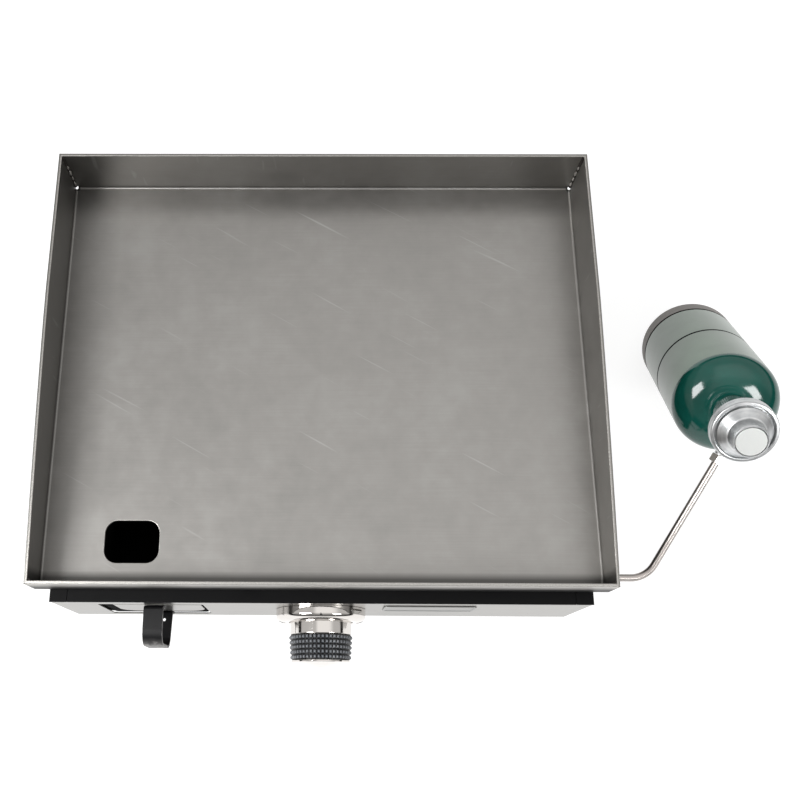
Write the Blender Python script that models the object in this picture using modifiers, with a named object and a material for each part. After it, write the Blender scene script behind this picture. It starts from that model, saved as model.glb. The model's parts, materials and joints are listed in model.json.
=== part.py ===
"""Portable griddle: a bent steel plate on a small gas base, with its grease tray, knob, regulator and bottle.

Metres, +Z up. The origin is the middle of the cooking surface. The front, with the knob, faces -Y.
"""
import math

import bmesh
import bpy
from mathutils import Matrix, Vector

MM = 0.001
GAP = 0.3 * MM            # between pieces that touch
CUT = 1.0 * MM            # how far a cutter runs past the face it opens

# Griddle plate
PLATE_WIDTH = 463.5 * MM
PLATE_DEPTH = 372.9 * MM
PLATE_GAUGE = 2.7 * MM
REAR_WALL = 53.4 * MM     # wall heights above the cooking surface
FRONT_WALL = 35.0 * MM
TAPER_LENGTH = 246.5 * MM  # the side walls fall over this length, to the front
TAPER_POWER = 1.35
BEND_RADIUS = 5.0 * MM    # outside of the bend between floor and wall
GREASE_HOLE_WIDTH = 45.0 * MM
GREASE_HOLE_DEPTH = 35.0 * MM
GREASE_HOLE_CORNER = 10.5 * MM
GREASE_HOLE_FROM_LEFT = 75.7 * MM   # to the middle of the hole
GREASE_HOLE_FROM_FRONT = 39.4 * MM
RELIEF_RADIUS = 2.2 * MM
STUD_RADIUS = 3.5 * MM
STUD_LENGTH = 10.0 * MM
STUD_CLEARANCE = 0.8 * MM
STUD_FROM_FRONT = 46.0 * MM
STUD_FROM_REAR = 46.0 * MM

# Base
BODY_INSET = 10.85 * MM   # how far the base's sides lie under the plate's sides
LEDGE_REACH = 9.6 * MM    # how far the base stands in front of the plate
REAR_INSET = 15.4 * MM    # how far the rear of the base lies under the plate
SHEET = 1.2 * MM
PANEL_SHEET = 1.0 * MM
FLANGE = 14.0 * MM
PANEL_DROP = 101.0 * MM   # from the ledge to the bottom edge of the front and rear panels
STAND_HEIGHT = 170.0 * MM  # from the ground to the cooking surface
LEG_WIDTH = 62.0 * MM
LEG_RAKE = 9.0 * MM       # the front leg leans back by this much
ARCH_TOP = 52.0 * MM      # height of the arch between the legs, over the leg's foot
ARCH_CORNER = 14.0 * MM
FOOT_FLANGE = 26.0 * MM
FOOT_HEIGHT = 7.7 * MM
FOOT_RADIUS = 11.0 * MM
FOOT_NECK_RADIUS = 3.4 * MM
FOOT_BARB_RADIUS = 5.0 * MM
FOOT_BARB_HEIGHT = 4.5 * MM
RAIL_DEPTH = 24.0 * MM
RAIL_WEB = 12.0 * MM           # height of the turned-down edge behind the front panel
SHIELD_SHEET = 0.8 * MM
SHIELD_FLANGE = 13.0 * MM
SCREW_CLEARANCE = 0.4 * MM
PANEL_SETBACK = 0.4 * MM       # of the front panel, behind the ledge's edge
REAR_PANEL_SETBACK = 3.5 * MM
VENT_COUNT = 7
VENT_WIDTH = 38.0 * MM
VENT_HEIGHT = 7.0 * MM
VENT_PITCH = 50.0 * MM
VENT_DROP = 20.0 * MM          # to the top of the vents
SLOT_LENGTH = 50.0 * MM
SLOT_WIDTH = 8.0 * MM
SLOT_PITCH = 90.0 * MM
NAMEPLATE_WIDTH = 77.0 * MM
NAMEPLATE_HEIGHT = 32.0 * MM
NAMEPLATE_FROM_KNOB = 52.5 * MM   # from the knob's axis to the plate's near edge
NAMEPLATE_GAUGE = 0.8 * MM
NAMEPLATE_DROP = 19.0 * MM
NAMEPLATE_CORNER = 3.0 * MM
NAMEPLATE_RIM = 2.0 * MM

# Grease tray
WINDOW_FROM_HOLE = 29.5 * MM   # the tray window starts this far to the left of the grease hole's middle
WINDOW_WIDTH = 87.5 * MM
WINDOW_CORNER = 3.0 * MM
WINDOW_TOP_STRIP = 17.5 * MM   # panel left above and below the tray window
WINDOW_LOW_STRIP = 11.5 * MM
TRAY_CLEARANCE = 2.0 * MM
TRAY_LENGTH = 88.0 * MM
TRAY_SHEET = 1.0 * MM
FRONTLET_WIDTH = 73.0 * MM     # the stainless plate on the front of the tray
FRONTLET_HEIGHT = 47.0 * MM
FRONTLET_CORNER = 16.0 * MM
RAIL_SHEET = 1.0 * MM
RAIL_SHELF = 11.0 * MM
RAIL_CLEARANCE = 0.7 * MM
HANDLE_FROM_WINDOW = 46.2 * MM  # from the window's left edge to the middle of the handle
HANDLE_WIDTH = 16.4 * MM
HANDLE_STRIP = 2.0 * MM
HANDLE_REACH = 32.4 * MM
HANDLE_NOSE_HEIGHT = 46.0 * MM
HANDLE_BEND = 12.0 * MM
HANDLE_TAB = 12.0 * MM
HANDLE_LOW_TAB = 9.0 * MM
HANDLE_HOLE_RADIUS = 1.4 * MM
HANDLE_HOLE_INSET = 7.0 * MM
TRAY_CORNER = 4.0 * MM
FRONTLET_DROP = 1.0 * MM       # of the front plate, below the tray's rim
RIVET_RADIUS = 2.6 * MM
RIVET_HEIGHT = 1.3 * MM

# Knob and gas valve
KNOB_DROP = 54.0 * MM     # the knob's axis below the cooking surface
KNOB_TRAVEL = 4.0 * MM
BEZEL_RADIUS = 38.3 * MM
BEZEL_MOUTH = 30.2 * MM
BEZEL_HEIGHT = 11.4 * MM
BEZEL_SIDE = 6.1 * MM     # height of its straight side, before the front rounds over
BEZEL_FLOOR = 1.8 * MM
BARREL_RADIUS = 26.3 * MM
BARREL_CLEARANCE = 1.2 * MM
BARREL_END = 21.6 * MM    # knob stations, forward of the panel's face
GRIP_END = 42.2 * MM
CAP_HEIGHT = 5.8 * MM
CAP_RIM = 1.7 * MM        # height of the cap's straight rim
GRIP_REAR_RADIUS = 27.1 * MM
GRIP_FRONT_RADIUS = 25.7 * MM
GRIP_BORE = 21.4 * MM
HUB_FACE = 6.0 * MM            # metal left in front of the stem
CAP_RADIUS = 25.0 * MM
STEM_RADIUS = 3.0 * MM
STEM_CLEARANCE = 1.2 * MM
BEZEL_SCREW_OFFSET = 33.2 * MM
BEZEL_SCREW_RADIUS = 1.5 * MM
BEZEL_SCREW_HEAD = 2.9 * MM
BEZEL_SCREW_SEAT = 3.4 * MM    # height of the screws' pockets over the panel
BEZEL_SCREW_HEAD_HEIGHT = 2.0 * MM
BEZEL_SCREW_TAIL = 1.5 * MM
STEM_REACH = 15.0 * MM         # how far the stem reaches behind the panel's face
VALVE_RADIUS = 13.0 * MM
VALVE_LENGTH = 34.0 * MM
VALVE_BORE_DEPTH = 26.5 * MM
PLUNGER_LENGTH = 5.0 * MM
VALVE_SPRING_WIRE = 0.5 * MM
VALVE_SPRING_TURNS = 3
SPRING_CLEARANCE = 0.9 * MM
BRACKET_WIDTH = 78.0 * MM
BRACKET_ABOVE = 15.0 * MM      # edges of the valve bracket, above and below the knob's axis
BRACKET_BELOW = 34.0 * MM
BRACKET_CORNER = 6.0 * MM
BRACKET_SHEET = 1.5 * MM
INLET_BOSS_RADIUS = 8.0 * MM
INLET_BOSS_REACH = 8.0 * MM
INLET_FROM_VALVE_FRONT = 25.4 * MM
INLET_PIPE_RADIUS = 4.0 * MM
ORIFICE_LENGTH = 10.0 * MM
ORIFICE_INSERTION = 3.0 * MM
ORIFICE_THREAD_RADIUS = 2.1 * MM
ORIFICE_THREAD_LENGTH = 4.0 * MM
PIEZO_RADIUS = 6.5 * MM
PIEZO_LENGTH = 36.0 * MM
PIEZO_CLEARANCE = 3.3 * MM
CERAMIC_RADIUS = 3.0 * MM
CERAMIC_LENGTH = 20.0 * MM
CERAMIC_BELOW = 12.0 * MM
PIN_RADIUS = 0.9 * MM
PIN_HEIGHT = 10.0 * MM
LEAD_RADIUS = 1.2 * MM
LEAD_BEND = 8.0 * MM
LEAD_STRAIGHT = 20.0 * MM
LEAD_DROP = 6.0 * MM
LEAD_CLEARANCE = 5.0 * MM
ELECTRODE_X = 30.0 * MM
ELECTRODE_FROM_BURNER = 12.0 * MM
ELECTRODE_BRACKET_REACH = 12.0 * MM

# Burner
TUBE_RADIUS = 11.0 * MM
TUBE_WALL = 1.0 * MM
TUBE_LENGTH = 190.0 * MM
TUBE_OFFSET = 105.0 * MM
BURNER_CENTRE_Y = 35.0 * MM
BURNER_DROP = 54.0 * MM
PORT_COUNT = 9
PORT_PITCH = 19.0 * MM
PORT_RADIUS = 2.0 * MM
CROSS_RADIUS = 10.4 * MM
VENTURI_RADIUS = 9.5 * MM
THROAT_RADIUS = 8.5 * MM
MOUTH_RADIUS = 17.0 * MM
MOUTH_LENGTH = 20.0 * MM
MOUTH_TAPER = 26.0 * MM
AIR_WINDOW_SETBACK = 4.0 * MM
AIR_WINDOW_LENGTH = 8.0 * MM
AIR_WINDOW_HEIGHT = 13.0 * MM
SHUTTER_CLEARANCE = 0.8 * MM
SHUTTER_LENGTH = 16.0 * MM
SHUTTER_EYE = 7.0 * MM
BURNER_BRACKET_INSET = 20.0 * MM
BURNER_BRACKET_MARGIN = 9.0 * MM

# Gas line
GAS_TUBE_RADIUS = 3.2 * MM
GAS_TUBE_BEND = 22.0 * MM
GAS_BEND_FROM_BODY = 60.8 * MM
SOCKET_RADIUS = 9.0 * MM
SOCKET_LENGTH = 15.0 * MM
SOCKET_NECK = 7.0 * MM
SOCKET_NECK_LENGTH = 9.0 * MM
SOCKET_BORE = 4.6 * MM
SOCKET_FLOOR = 6.0 * MM
PLUG_CLEARANCE = 1.0 * MM
COUPLING_STANDOFF = 2.5 * MM
COUPLING_LENGTH = 15.0 * MM
COUPLING_RADIUS = 10.6 * MM

# Regulator, whose axis is the bottle's axis: stations are measured along it from its centre
REGULATOR_ACROSS = 68.05 * MM   # its centre, from the corner of the tube's bend
REGULATOR_BEHIND = 119.8 * MM
REGULATOR_RISE = 68.0 * MM
AIM_ACROSS = 1.8 * MM          # where the tube aims, from the regulator's centre
AIM_BEHIND = 1.2 * MM
AIM_BELOW = 3.95 * MM
BOTTLE_SLOPE = math.radians(49.35)      # of the axis, from level
BOTTLE_HEADING = math.radians(-101.95)  # of the axis, seen from above, from +X
BODY_RIM = 24.8 * MM
CRIMP_RADIUS = 27.0 * MM
COVER_RADIUS = 22.2 * MM
BOSS_RADIUS = 14.2 * MM
BOSS_TOP = 38.3 * MM
BODY_RIM_TOP = 12.6 * MM
BODY_BASE = -4.0 * MM
CHAMBER_WALL = 5.0 * MM
CHAMBER_DEPTH = 5.6 * MM
INLET_EYE = 3.0 * MM
CRIMP_REACH = 3.0 * MM         # how far the crimp ring reaches under the body's rim
DISC_THICKNESS = 1.0 * MM
COVER_LIP = 2.0 * MM
COVER_WALL_HEIGHT = 2.4 * MM
BOSS_FOOT = 25.7 * MM
BOSS_WALL = 1.4 * MM
CAP_THICKNESS = 2.4 * MM
BODY_NECK = 19.5 * MM        # radius where the die-cast body starts to flare above its foot
COLLAR_RADIUS = 16.5 * MM
COLLAR_LENGTH = 17.6 * MM
COLLAR_DEPTH = 12.3 * MM
SEAL_THICKNESS = 1.4 * MM
SEAL_EYE = 5.0 * MM
OUTLET_RADIUS = 5.0 * MM
OUTLET_START = 18.0 * MM       # of the boss, along the tube from where it aims
OUTLET_REACH = 31.1 * MM
OUTLET_NUT_RADIUS = 6.6 * MM
OUTLET_NUT_LENGTH = 7.0 * MM
SPRING_TURNS = 4
SPRING_RADIUS = 7.6 * MM
SPRING_WIRE = 0.8 * MM

# Bottle
BOTTLE_RADIUS = 45.3 * MM
BOTTLE_SHOULDER = 155.2 * MM   # heights above the bottle's foot
BOTTLE_DOME = 22.0 * MM
BOTTLE_WALL = 1.0 * MM
NECK_RADIUS = 12.2 * MM
NECK_TOP = 194.0 * MM
NECK_COLLAR = 15.0 * MM
THREAD_CLEARANCE = 0.5 * MM
NECK_STEP = 2.0 * MM           # height of the step under the neck
CORE_HOLE_RADIUS = 7.4 * MM
CORE_RECESS = 1.0 * MM         # of the valve core, below the neck's top
CORE_TIP_RADIUS = 3.0 * MM
CORE_TIP_DEPTH = 8.0 * MM      # below the dome's top
BASE_CURVE_HEIGHT = 13.0 * MM  # where the bottle's base starts to curve in, and where it ends
BASE_CURVE_WIDTH = 6.0 * MM
BASE_CURVE_END = 6.0 * MM
BASE_HEIGHT = 3.0 * MM
FOOT_RING_HEIGHT = 17.8 * MM
FOOT_RING_WALL = 1.1 * MM
FOOT_RING_EDGE = 1.4 * MM
FOOT_RING_LIP = 5.0 * MM       # width and thickness of the lip under the bottle
FOOT_RING_LIP_THICKNESS = 1.2 * MM
FOOT_RING_FILLET = 0.8 * MM

# Places worked out from the sizes above
HALF_WIDTH = PLATE_WIDTH / 2
HALF_DEPTH = PLATE_DEPTH / 2
HALF_BODY = HALF_WIDTH - BODY_INSET
BODY_TOP = -PLATE_GAUGE - GAP
BODY_FRONT = -HALF_DEPTH - LEDGE_REACH
BODY_REAR = HALF_DEPTH - REAR_INSET
PANEL_BOTTOM = BODY_TOP - PANEL_DROP
PANEL_BACK = BODY_FRONT + PANEL_SETBACK + PANEL_SHEET
WEB_FRONT = PANEL_BACK + GAP
GROUND = -STAND_HEIGHT
LEG_BOTTOM = GROUND + FOOT_HEIGHT + GAP
WEB_INNER = HALF_BODY - SHEET
FOOT_X = HALF_BODY - FOOT_FLANGE / 2
FOOT_FRONT_Y = WEB_FRONT + LEG_WIDTH / 2
FOOT_REAR_Y = BODY_REAR - LEG_WIDTH / 2
STUD_X = HALF_BODY - FLANGE / 2
STUD_YS = (-HALF_DEPTH + STUD_FROM_FRONT, HALF_DEPTH - STUD_FROM_REAR)
KNOB_Z = -KNOB_DROP
PANEL_FACE = PANEL_BACK - PANEL_SHEET
REAR_PANEL_Y = BODY_REAR - REAR_PANEL_SETBACK
SHIELD_Z = PANEL_BOTTOM + SHIELD_FLANGE / 2
SHIELD_TOP = SHIELD_Z + SHIELD_SHEET / 2
GREASE_HOLE_X = -HALF_WIDTH + GREASE_HOLE_FROM_LEFT
GREASE_HOLE_Y = -HALF_DEPTH + GREASE_HOLE_FROM_FRONT
WINDOW_LEFT = GREASE_HOLE_X - WINDOW_FROM_HOLE
BRACKET_BACK = WEB_FRONT + BRACKET_SHEET
VALVE_FRONT = BRACKET_BACK + GAP
VALVE_REAR = VALVE_FRONT + VALVE_LENGTH
ELECTRODE_Y = BURNER_CENTRE_Y - CROSS_RADIUS - ELECTRODE_FROM_BURNER
GAS_LINE_Y = VALVE_FRONT + INLET_FROM_VALVE_FRONT
SOCKET_X = WEB_INNER - SOCKET_LENGTH
GAS_BEND = Vector((HALF_BODY + GAS_BEND_FROM_BODY, GAS_LINE_Y, KNOB_Z))
REGULATOR_CENTRE = GAS_BEND + Vector((REGULATOR_ACROSS, REGULATOR_BEHIND, REGULATOR_RISE))
TUBE_AIM = REGULATOR_CENTRE + Vector((AIM_ACROSS, AIM_BEHIND, -AIM_BELOW))
TUBE_DIRECTION = (GAS_BEND - TUBE_AIM).normalized()
BOTTLE_AXIS = Vector((math.cos(BOTTLE_SLOPE) * math.cos(BOTTLE_HEADING),
                      math.cos(BOTTLE_SLOPE) * math.sin(BOTTLE_HEADING),
                      math.sin(BOTTLE_SLOPE)))
COLLAR_TOP = BODY_BASE - GAP
COLLAR_BOTTOM = COLLAR_TOP - COLLAR_LENGTH
SEAL_BOTTOM = COLLAR_BOTTOM + COLLAR_DEPTH
BOTTLE_FOOT = REGULATOR_CENTRE + BOTTLE_AXIS * (SEAL_BOTTOM - GAP - NECK_TOP)

UP = Vector((0, 0, 1))
RIGHT = Vector((1, 0, 0))
FORWARD = Vector((0, -1, 0))


# Scene and materials

def collection(name):
    found = bpy.data.collections.get(name)
    if found is None:
        found = bpy.data.collections.new(name)
        bpy.context.scene.collection.children.link(found)
    return found


def linear(channel):
    return channel / 12.92 if channel <= 0.04045 else ((channel + 0.055) / 1.055) ** 2.4


def material(name, colour, roughness, metallic):
    """A Principled BSDF with an sRGB hex colour."""
    found = bpy.data.materials.get(name)
    if found:
        return found
    made = bpy.data.materials.new(name)
    made.use_nodes = True
    shader = made.node_tree.nodes["Principled BSDF"]
    channels = [linear(int(colour[i:i + 2], 16) / 255) for i in (0, 2, 4)]
    shader.inputs["Base Color"].default_value = (*channels, 1.0)
    shader.inputs["Roughness"].default_value = roughness
    shader.inputs["Metallic"].default_value = metallic
    return made


def bare_steel():
    return material("bare rolled steel", "9a9894", 0.35, 1.0)


def black_coat():
    return material("black powder coat", "242425", 0.5, 0.0)


def stainless():
    return material("brushed stainless", "cfcfcd", 0.35, 1.0)


def plated():
    return material("bright plated steel", "e0ddd9", 0.12, 1.0)


def cast_metal():
    return material("cast aluminium", "b4b6b8", 0.4, 1.0)


def yellow_metal():
    return material("brass", "b99a55", 0.35, 1.0)


def soft_rubber():
    return material("black rubber", "1b1b1c", 0.8, 0.0)


def aluminised():
    return material("aluminised steel", "a3a5a6", 0.45, 1.0)


# Shapes

def place(name, data, location=(0, 0, 0), finish=None):
    """A new object in the griddle's collection, or among the cutters when it has no finish."""
    made = bpy.data.objects.new(name, data)
    made.location = location
    if finish is None:
        collection("cutters").objects.link(made)
        made.hide_render = True
        made.display_type = 'WIRE'
    else:
        collection("portable_griddle").objects.link(made)
        made.data.materials.append(finish)
    return made


def finish_mesh(name, bm):
    mesh = bpy.data.meshes.new(name)
    bm.to_mesh(mesh)
    bm.free()
    mesh.shade_smooth()
    mesh.set_sharp_from_angle(angle=math.radians(35))
    return mesh


def box(name, low, high, finish=None, radius=0.0, rounds=None, segments=4):
    """A block between two corners. rounds(a, b) picks the edges, by their ends, that get the radius."""
    low, high = Vector(low), Vector(high)
    bm = bmesh.new()
    bmesh.ops.create_cube(bm, size=1.0)
    bmesh.ops.scale(bm, vec=high - low, verts=bm.verts)
    if radius:
        picked = [edge for edge in bm.edges if rounds(*(vert.co for vert in edge.verts))]
        bmesh.ops.bevel(bm, geom=picked, offset=radius, segments=segments, profile=0.5, affect='EDGES')
    return place(name, finish_mesh(name, bm), (low + high) / 2, finish)


def along(axis):
    """Picks a block's edges that run along one axis."""
    return lambda a, b: abs((a - b)[axis]) > 0.9 * (a - b).length


def low_along_y(a, b):
    """Picks a block's two bottom edges that run from front to back."""
    return a.z < 0 and b.z < 0 and abs((a - b).y) > 0.9 * (a - b).length


def turn_to(direction):
    return UP.rotation_difference(Vector(direction).normalized()).to_euler()


def rod(name, start, end, radius, finish=None, sides=24):
    """A cylinder between two points."""
    start, end = Vector(start), Vector(end)
    bm = bmesh.new()
    bmesh.ops.create_cone(bm, cap_ends=True, segments=sides, radius1=radius, radius2=radius,
                          depth=(end - start).length)
    made = place(name, finish_mesh(name, bm), (start + end) / 2, finish)
    made.rotation_euler = turn_to(end - start)
    return made


def rods(name, pairs, radius, finish=None, sides=12):
    """Several cylinders in one object, each between a pair of points."""
    bm = bmesh.new()
    for start, end in pairs:
        start, end = Vector(start), Vector(end)
        turn = turn_to(end - start).to_matrix().to_4x4()
        bmesh.ops.create_cone(bm, cap_ends=True, segments=sides, radius1=radius, radius2=radius,
                              depth=(end - start).length,
                              matrix=Matrix.Translation((start + end) / 2) @ turn)
    return place(name, finish_mesh(name, bm), (0, 0, 0), finish)


def boxes(name, corners, finish=None):
    """Several blocks in one object, each between a pair of corners."""
    bm = bmesh.new()
    for low, high in corners:
        low, high = Vector(low), Vector(high)
        size = Matrix.Diagonal((*(high - low), 1.0))
        bmesh.ops.create_cube(bm, size=1.0, matrix=Matrix.Translation((low + high) / 2) @ size)
    return place(name, finish_mesh(name, bm), (0, 0, 0), finish)


def turned(name, profile, origin, direction, finish=None, sides=32, ring=False):
    """A profile of (radius, height) points turned about an axis. A ring's profile closes on itself."""
    mesh = bpy.data.meshes.new(name)
    edges = [(i, i + 1) for i in range(len(profile) - 1)]
    if ring:
        edges.append((len(profile) - 1, 0))
    mesh.from_pydata([(radius, 0, height) for radius, height in profile], edges, [])
    made = place(name, mesh, origin, finish)
    made.rotation_euler = turn_to(direction)
    screw = made.modifiers.new("turn", 'SCREW')
    screw.steps = sides
    screw.render_steps = sides
    screw.use_merge_vertices = True
    screw.merge_threshold = 0.01 * MM
    screw.use_smooth_shade = True
    return made


def rounded(points, radii, steps=4):
    """A path whose inner corners are arcs, with one radius for each corner."""
    points = [Vector(point) for point in points]
    path = [points[0]]
    for before, corner, after, radius in zip(points, points[1:], points[2:], radii):
        back = (before - corner).normalized()
        on = (after - corner).normalized()
        half = back.angle(on) / 2
        centre = corner + (back + on).normalized() * radius / math.sin(half)
        first = corner + back * radius / math.tan(half) - centre
        last = corner + on * radius / math.tan(half) - centre
        sweep = math.pi - 2 * half
        for i in range(steps + 1):
            share = i / steps
            path.append(centre + (first * math.sin((1 - share) * sweep)
                                  + last * math.sin(share * sweep)) / math.sin(sweep))
    path.append(points[-1])
    return path


def bent_sheet(name, profile, axis, start, end, thickness, finish):
    """Sheet metal whose middle line is a profile in the two other axes, run along the given axis."""
    bm = bmesh.new()
    rows = []
    for station in (start, end):
        row = []
        for a, b in profile:
            spot = {0: (station, a, b), 1: (a, station, b), 2: (a, b, station)}[axis]
            row.append(bm.verts.new(spot))
        rows.append(row)
    for i in range(len(profile) - 1):
        bm.faces.new((rows[0][i], rows[0][i + 1], rows[1][i + 1], rows[1][i]))
    made = place(name, finish_mesh(name, bm), (0, 0, 0), finish)
    shell = made.modifiers.new("gauge", 'SOLIDIFY')
    shell.thickness = thickness
    shell.offset = 0.0
    shell.use_even_offset = True
    return made


def slab(name, outline, axis, start, end, finish=None):
    """A flat outline in the two other axes, thickened along the given axis."""
    curve = bpy.data.curves.new(name, 'CURVE')
    curve.dimensions = '2D'
    curve.fill_mode = 'BOTH'
    curve.extrude = abs(end - start) / 2
    spline = curve.splines.new('POLY')
    spline.points.add(len(outline) - 1)
    for point, (a, b) in zip(spline.points, outline):
        point.co = (a, b, 0, 1)
    spline.use_cyclic_u = True
    drawn = place(name + "_outline", curve)
    middle = (start + end) / 2
    drawn.location = [middle if i == axis else 0 for i in range(3)]
    quarter = math.pi / 2
    drawn.rotation_euler = {0: (quarter, 0, quarter), 1: (quarter, 0, 0), 2: (0, 0, 0)}[axis]
    bpy.context.view_layer.update()
    mesh = bpy.data.meshes.new_from_object(drawn.evaluated_get(bpy.context.evaluated_depsgraph_get()))
    bm = bmesh.new()
    bm.from_mesh(mesh)
    bmesh.ops.remove_doubles(bm, verts=bm.verts, dist=0.01 * MM)
    bmesh.ops.recalc_face_normals(bm, faces=bm.faces)
    bm.to_mesh(mesh)
    bm.free()
    mesh.materials.clear()
    mesh.name = name
    made = place(name, mesh, (0, 0, 0), finish)
    made.matrix_world = drawn.matrix_world
    bpy.data.objects.remove(drawn)
    return made


def tube(name, points, radius, finish, sides=2):
    """A round wire or tube through the points, with filled ends."""
    curve = bpy.data.curves.new(name, 'CURVE')
    curve.dimensions = '3D'
    curve.bevel_depth = radius
    curve.bevel_resolution = sides
    curve.use_fill_caps = True
    spline = curve.splines.new('POLY')
    spline.points.add(len(points) - 1)
    for point, spot in zip(spline.points, points):
        point.co = (*spot, 1)
        point.radius = 1.0
    return place(name, curve, (0, 0, 0), finish)


def boolean(target, operation, others):
    for other in others:
        step = target.modifiers.new(other.name, 'BOOLEAN')
        step.operation = operation
        step.object = other
    return target


def cut(target, *cutters):
    return boolean(target, 'DIFFERENCE', cutters)


def weld(target, *others):
    return boolean(target, 'UNION', others)


def carry(name, spot, *pieces):
    """An empty on a joint's axis that carries the pieces of one moving body."""
    empty = bpy.data.objects.new(name, None)
    empty.location = spot
    empty.empty_display_size = 0.02
    collection("portable_griddle").objects.link(empty)
    for piece in pieces:
        piece.parent = empty
        piece.matrix_parent_inverse = Matrix.Translation(-Vector(spot))
    return empty


# Griddle plate

def wall_height(y):
    """Height of a side wall above the cooking surface at a distance y behind the middle."""
    share = max(0.0, (TAPER_LENGTH - HALF_DEPTH - y) / TAPER_LENGTH)
    return REAR_WALL - (REAR_WALL - FRONT_WALL) * share ** TAPER_POWER


def griddle():
    def low_edge(a, b):
        return a.z < 0 and b.z < 0

    tall = REAR_WALL + 10 * MM
    plate = box("griddle_plate", (-HALF_WIDTH, -HALF_DEPTH, -PLATE_GAUGE), (HALF_WIDTH, HALF_DEPTH, tall),
                bare_steel(), BEND_RADIUS, low_edge)
    inner_x, inner_y = HALF_WIDTH - PLATE_GAUGE, HALF_DEPTH - PLATE_GAUGE
    inside = box("cut_plate_inside", (-inner_x, -inner_y, 0), (inner_x, inner_y, tall + CUT), None,
                 BEND_RADIUS - PLATE_GAUGE, low_edge)

    taper_start = TAPER_LENGTH - HALF_DEPTH
    stations = [taper_start - TAPER_LENGTH * i / 8 for i in range(9)]
    beyond = HALF_DEPTH + CUT
    rim = [(beyond, REAR_WALL)] + [(y, wall_height(y)) for y in stations]
    rim += [(-beyond, FRONT_WALL), (-beyond, tall + CUT), (beyond, tall + CUT)]
    over = slab("cut_over_rim", rim, 0, -HALF_WIDTH - CUT, HALF_WIDTH + CUT)

    hole = box("cut_grease_hole",
               (GREASE_HOLE_X - GREASE_HOLE_WIDTH / 2, GREASE_HOLE_Y - GREASE_HOLE_DEPTH / 2,
                -PLATE_GAUGE - CUT),
               (GREASE_HOLE_X + GREASE_HOLE_WIDTH / 2, GREASE_HOLE_Y + GREASE_HOLE_DEPTH / 2, CUT),
               None, GREASE_HOLE_CORNER, along(2))

    relief = rods("cut_relief", [((side * inner_x, inner_y, -PLATE_GAUGE - CUT),
                                  (side * inner_x, inner_y, BEND_RADIUS - PLATE_GAUGE))
                                 for side in (-1, 1)], RELIEF_RADIUS, None, 8)
    cut(plate, inside, over, hole, relief)

    # Studs welded under the plate locate it in the base.
    weld(plate, rods("plate_studs", [((side * STUD_X, y, -PLATE_GAUGE - STUD_LENGTH),
                                      (side * STUD_X, y, -PLATE_GAUGE / 2))
                                     for side in (-1, 1) for y in STUD_YS], STUD_RADIUS, None, 16))
    carry("griddle_lift", (0, 0, 0), plate)


# Base


def side_panel(name, side):
    """A side of the base with its two legs, bent inward at the top and at the feet."""
    middle = SHEET / 2
    web_x = side * (HALF_BODY - middle)
    profile = [(side * (HALF_BODY - FLANGE), BODY_TOP - middle), (web_x, BODY_TOP - middle),
               (web_x, LEG_BOTTOM + middle), (side * (HALF_BODY - FOOT_FLANGE), LEG_BOTTOM + middle)]
    panel = bent_sheet(name, profile, 1, BODY_FRONT, BODY_REAR, SHEET, black_coat())

    inner, outer = HALF_BODY - FOOT_FLANGE - CUT, HALF_BODY + CUT
    across = sorted((side * inner, side * outer))
    nose = box("cut_nose_" + name, (across[0], BODY_FRONT - CUT, LEG_BOTTOM - CUT),
               (across[1], WEB_FRONT, BODY_TOP - SHEET))
    rake = slab("cut_rake_" + name,
                [(WEB_FRONT, PANEL_BOTTOM), (WEB_FRONT - CUT, PANEL_BOTTOM),
                 (WEB_FRONT - CUT, LEG_BOTTOM - CUT), (WEB_FRONT + LEG_RAKE, LEG_BOTTOM - CUT)],
                0, across[0], across[1])
    arch = box("cut_arch_" + name, (across[0], WEB_FRONT + LEG_WIDTH, LEG_BOTTOM - ARCH_TOP),
               (across[1], BODY_REAR - LEG_WIDTH, LEG_BOTTOM + ARCH_TOP), None, ARCH_CORNER, along(0))
    stud_holes = rods("cut_stud_holes_" + name,
                      [((side * STUD_X, y, BODY_TOP - SHEET - CUT), (side * STUD_X, y, BODY_TOP + CUT))
                       for y in STUD_YS], STUD_RADIUS + STUD_CLEARANCE, None, 16)
    foot_holes = rods("cut_foot_holes_" + name,
                      [((side * FOOT_X, y, LEG_BOTTOM - CUT), (side * FOOT_X, y, LEG_BOTTOM + SHEET + CUT))
                       for y in (FOOT_FRONT_Y, FOOT_REAR_Y)], FOOT_NECK_RADIUS + SCREW_CLEARANCE)
    cut(panel, nose, rake, arch, stud_holes, foot_holes)
    if side > 0:
        cut(panel, rod("cut_gas_hole", (WEB_INNER - CUT, GAS_LINE_Y, KNOB_Z),
                       (HALF_BODY + CUT, GAS_LINE_Y, KNOB_Z), SOCKET_NECK + SCREW_CLEARANCE))

    flange = sorted((side * (HALF_BODY - FLANGE), side * (WEB_INNER + SHEET / 2)))
    weld(panel, box("front_flange_" + name,
                    (flange[0], WEB_FRONT, SHIELD_TOP),
                    (flange[1], WEB_FRONT + SHEET, BODY_TOP - RAIL_WEB)))


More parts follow.
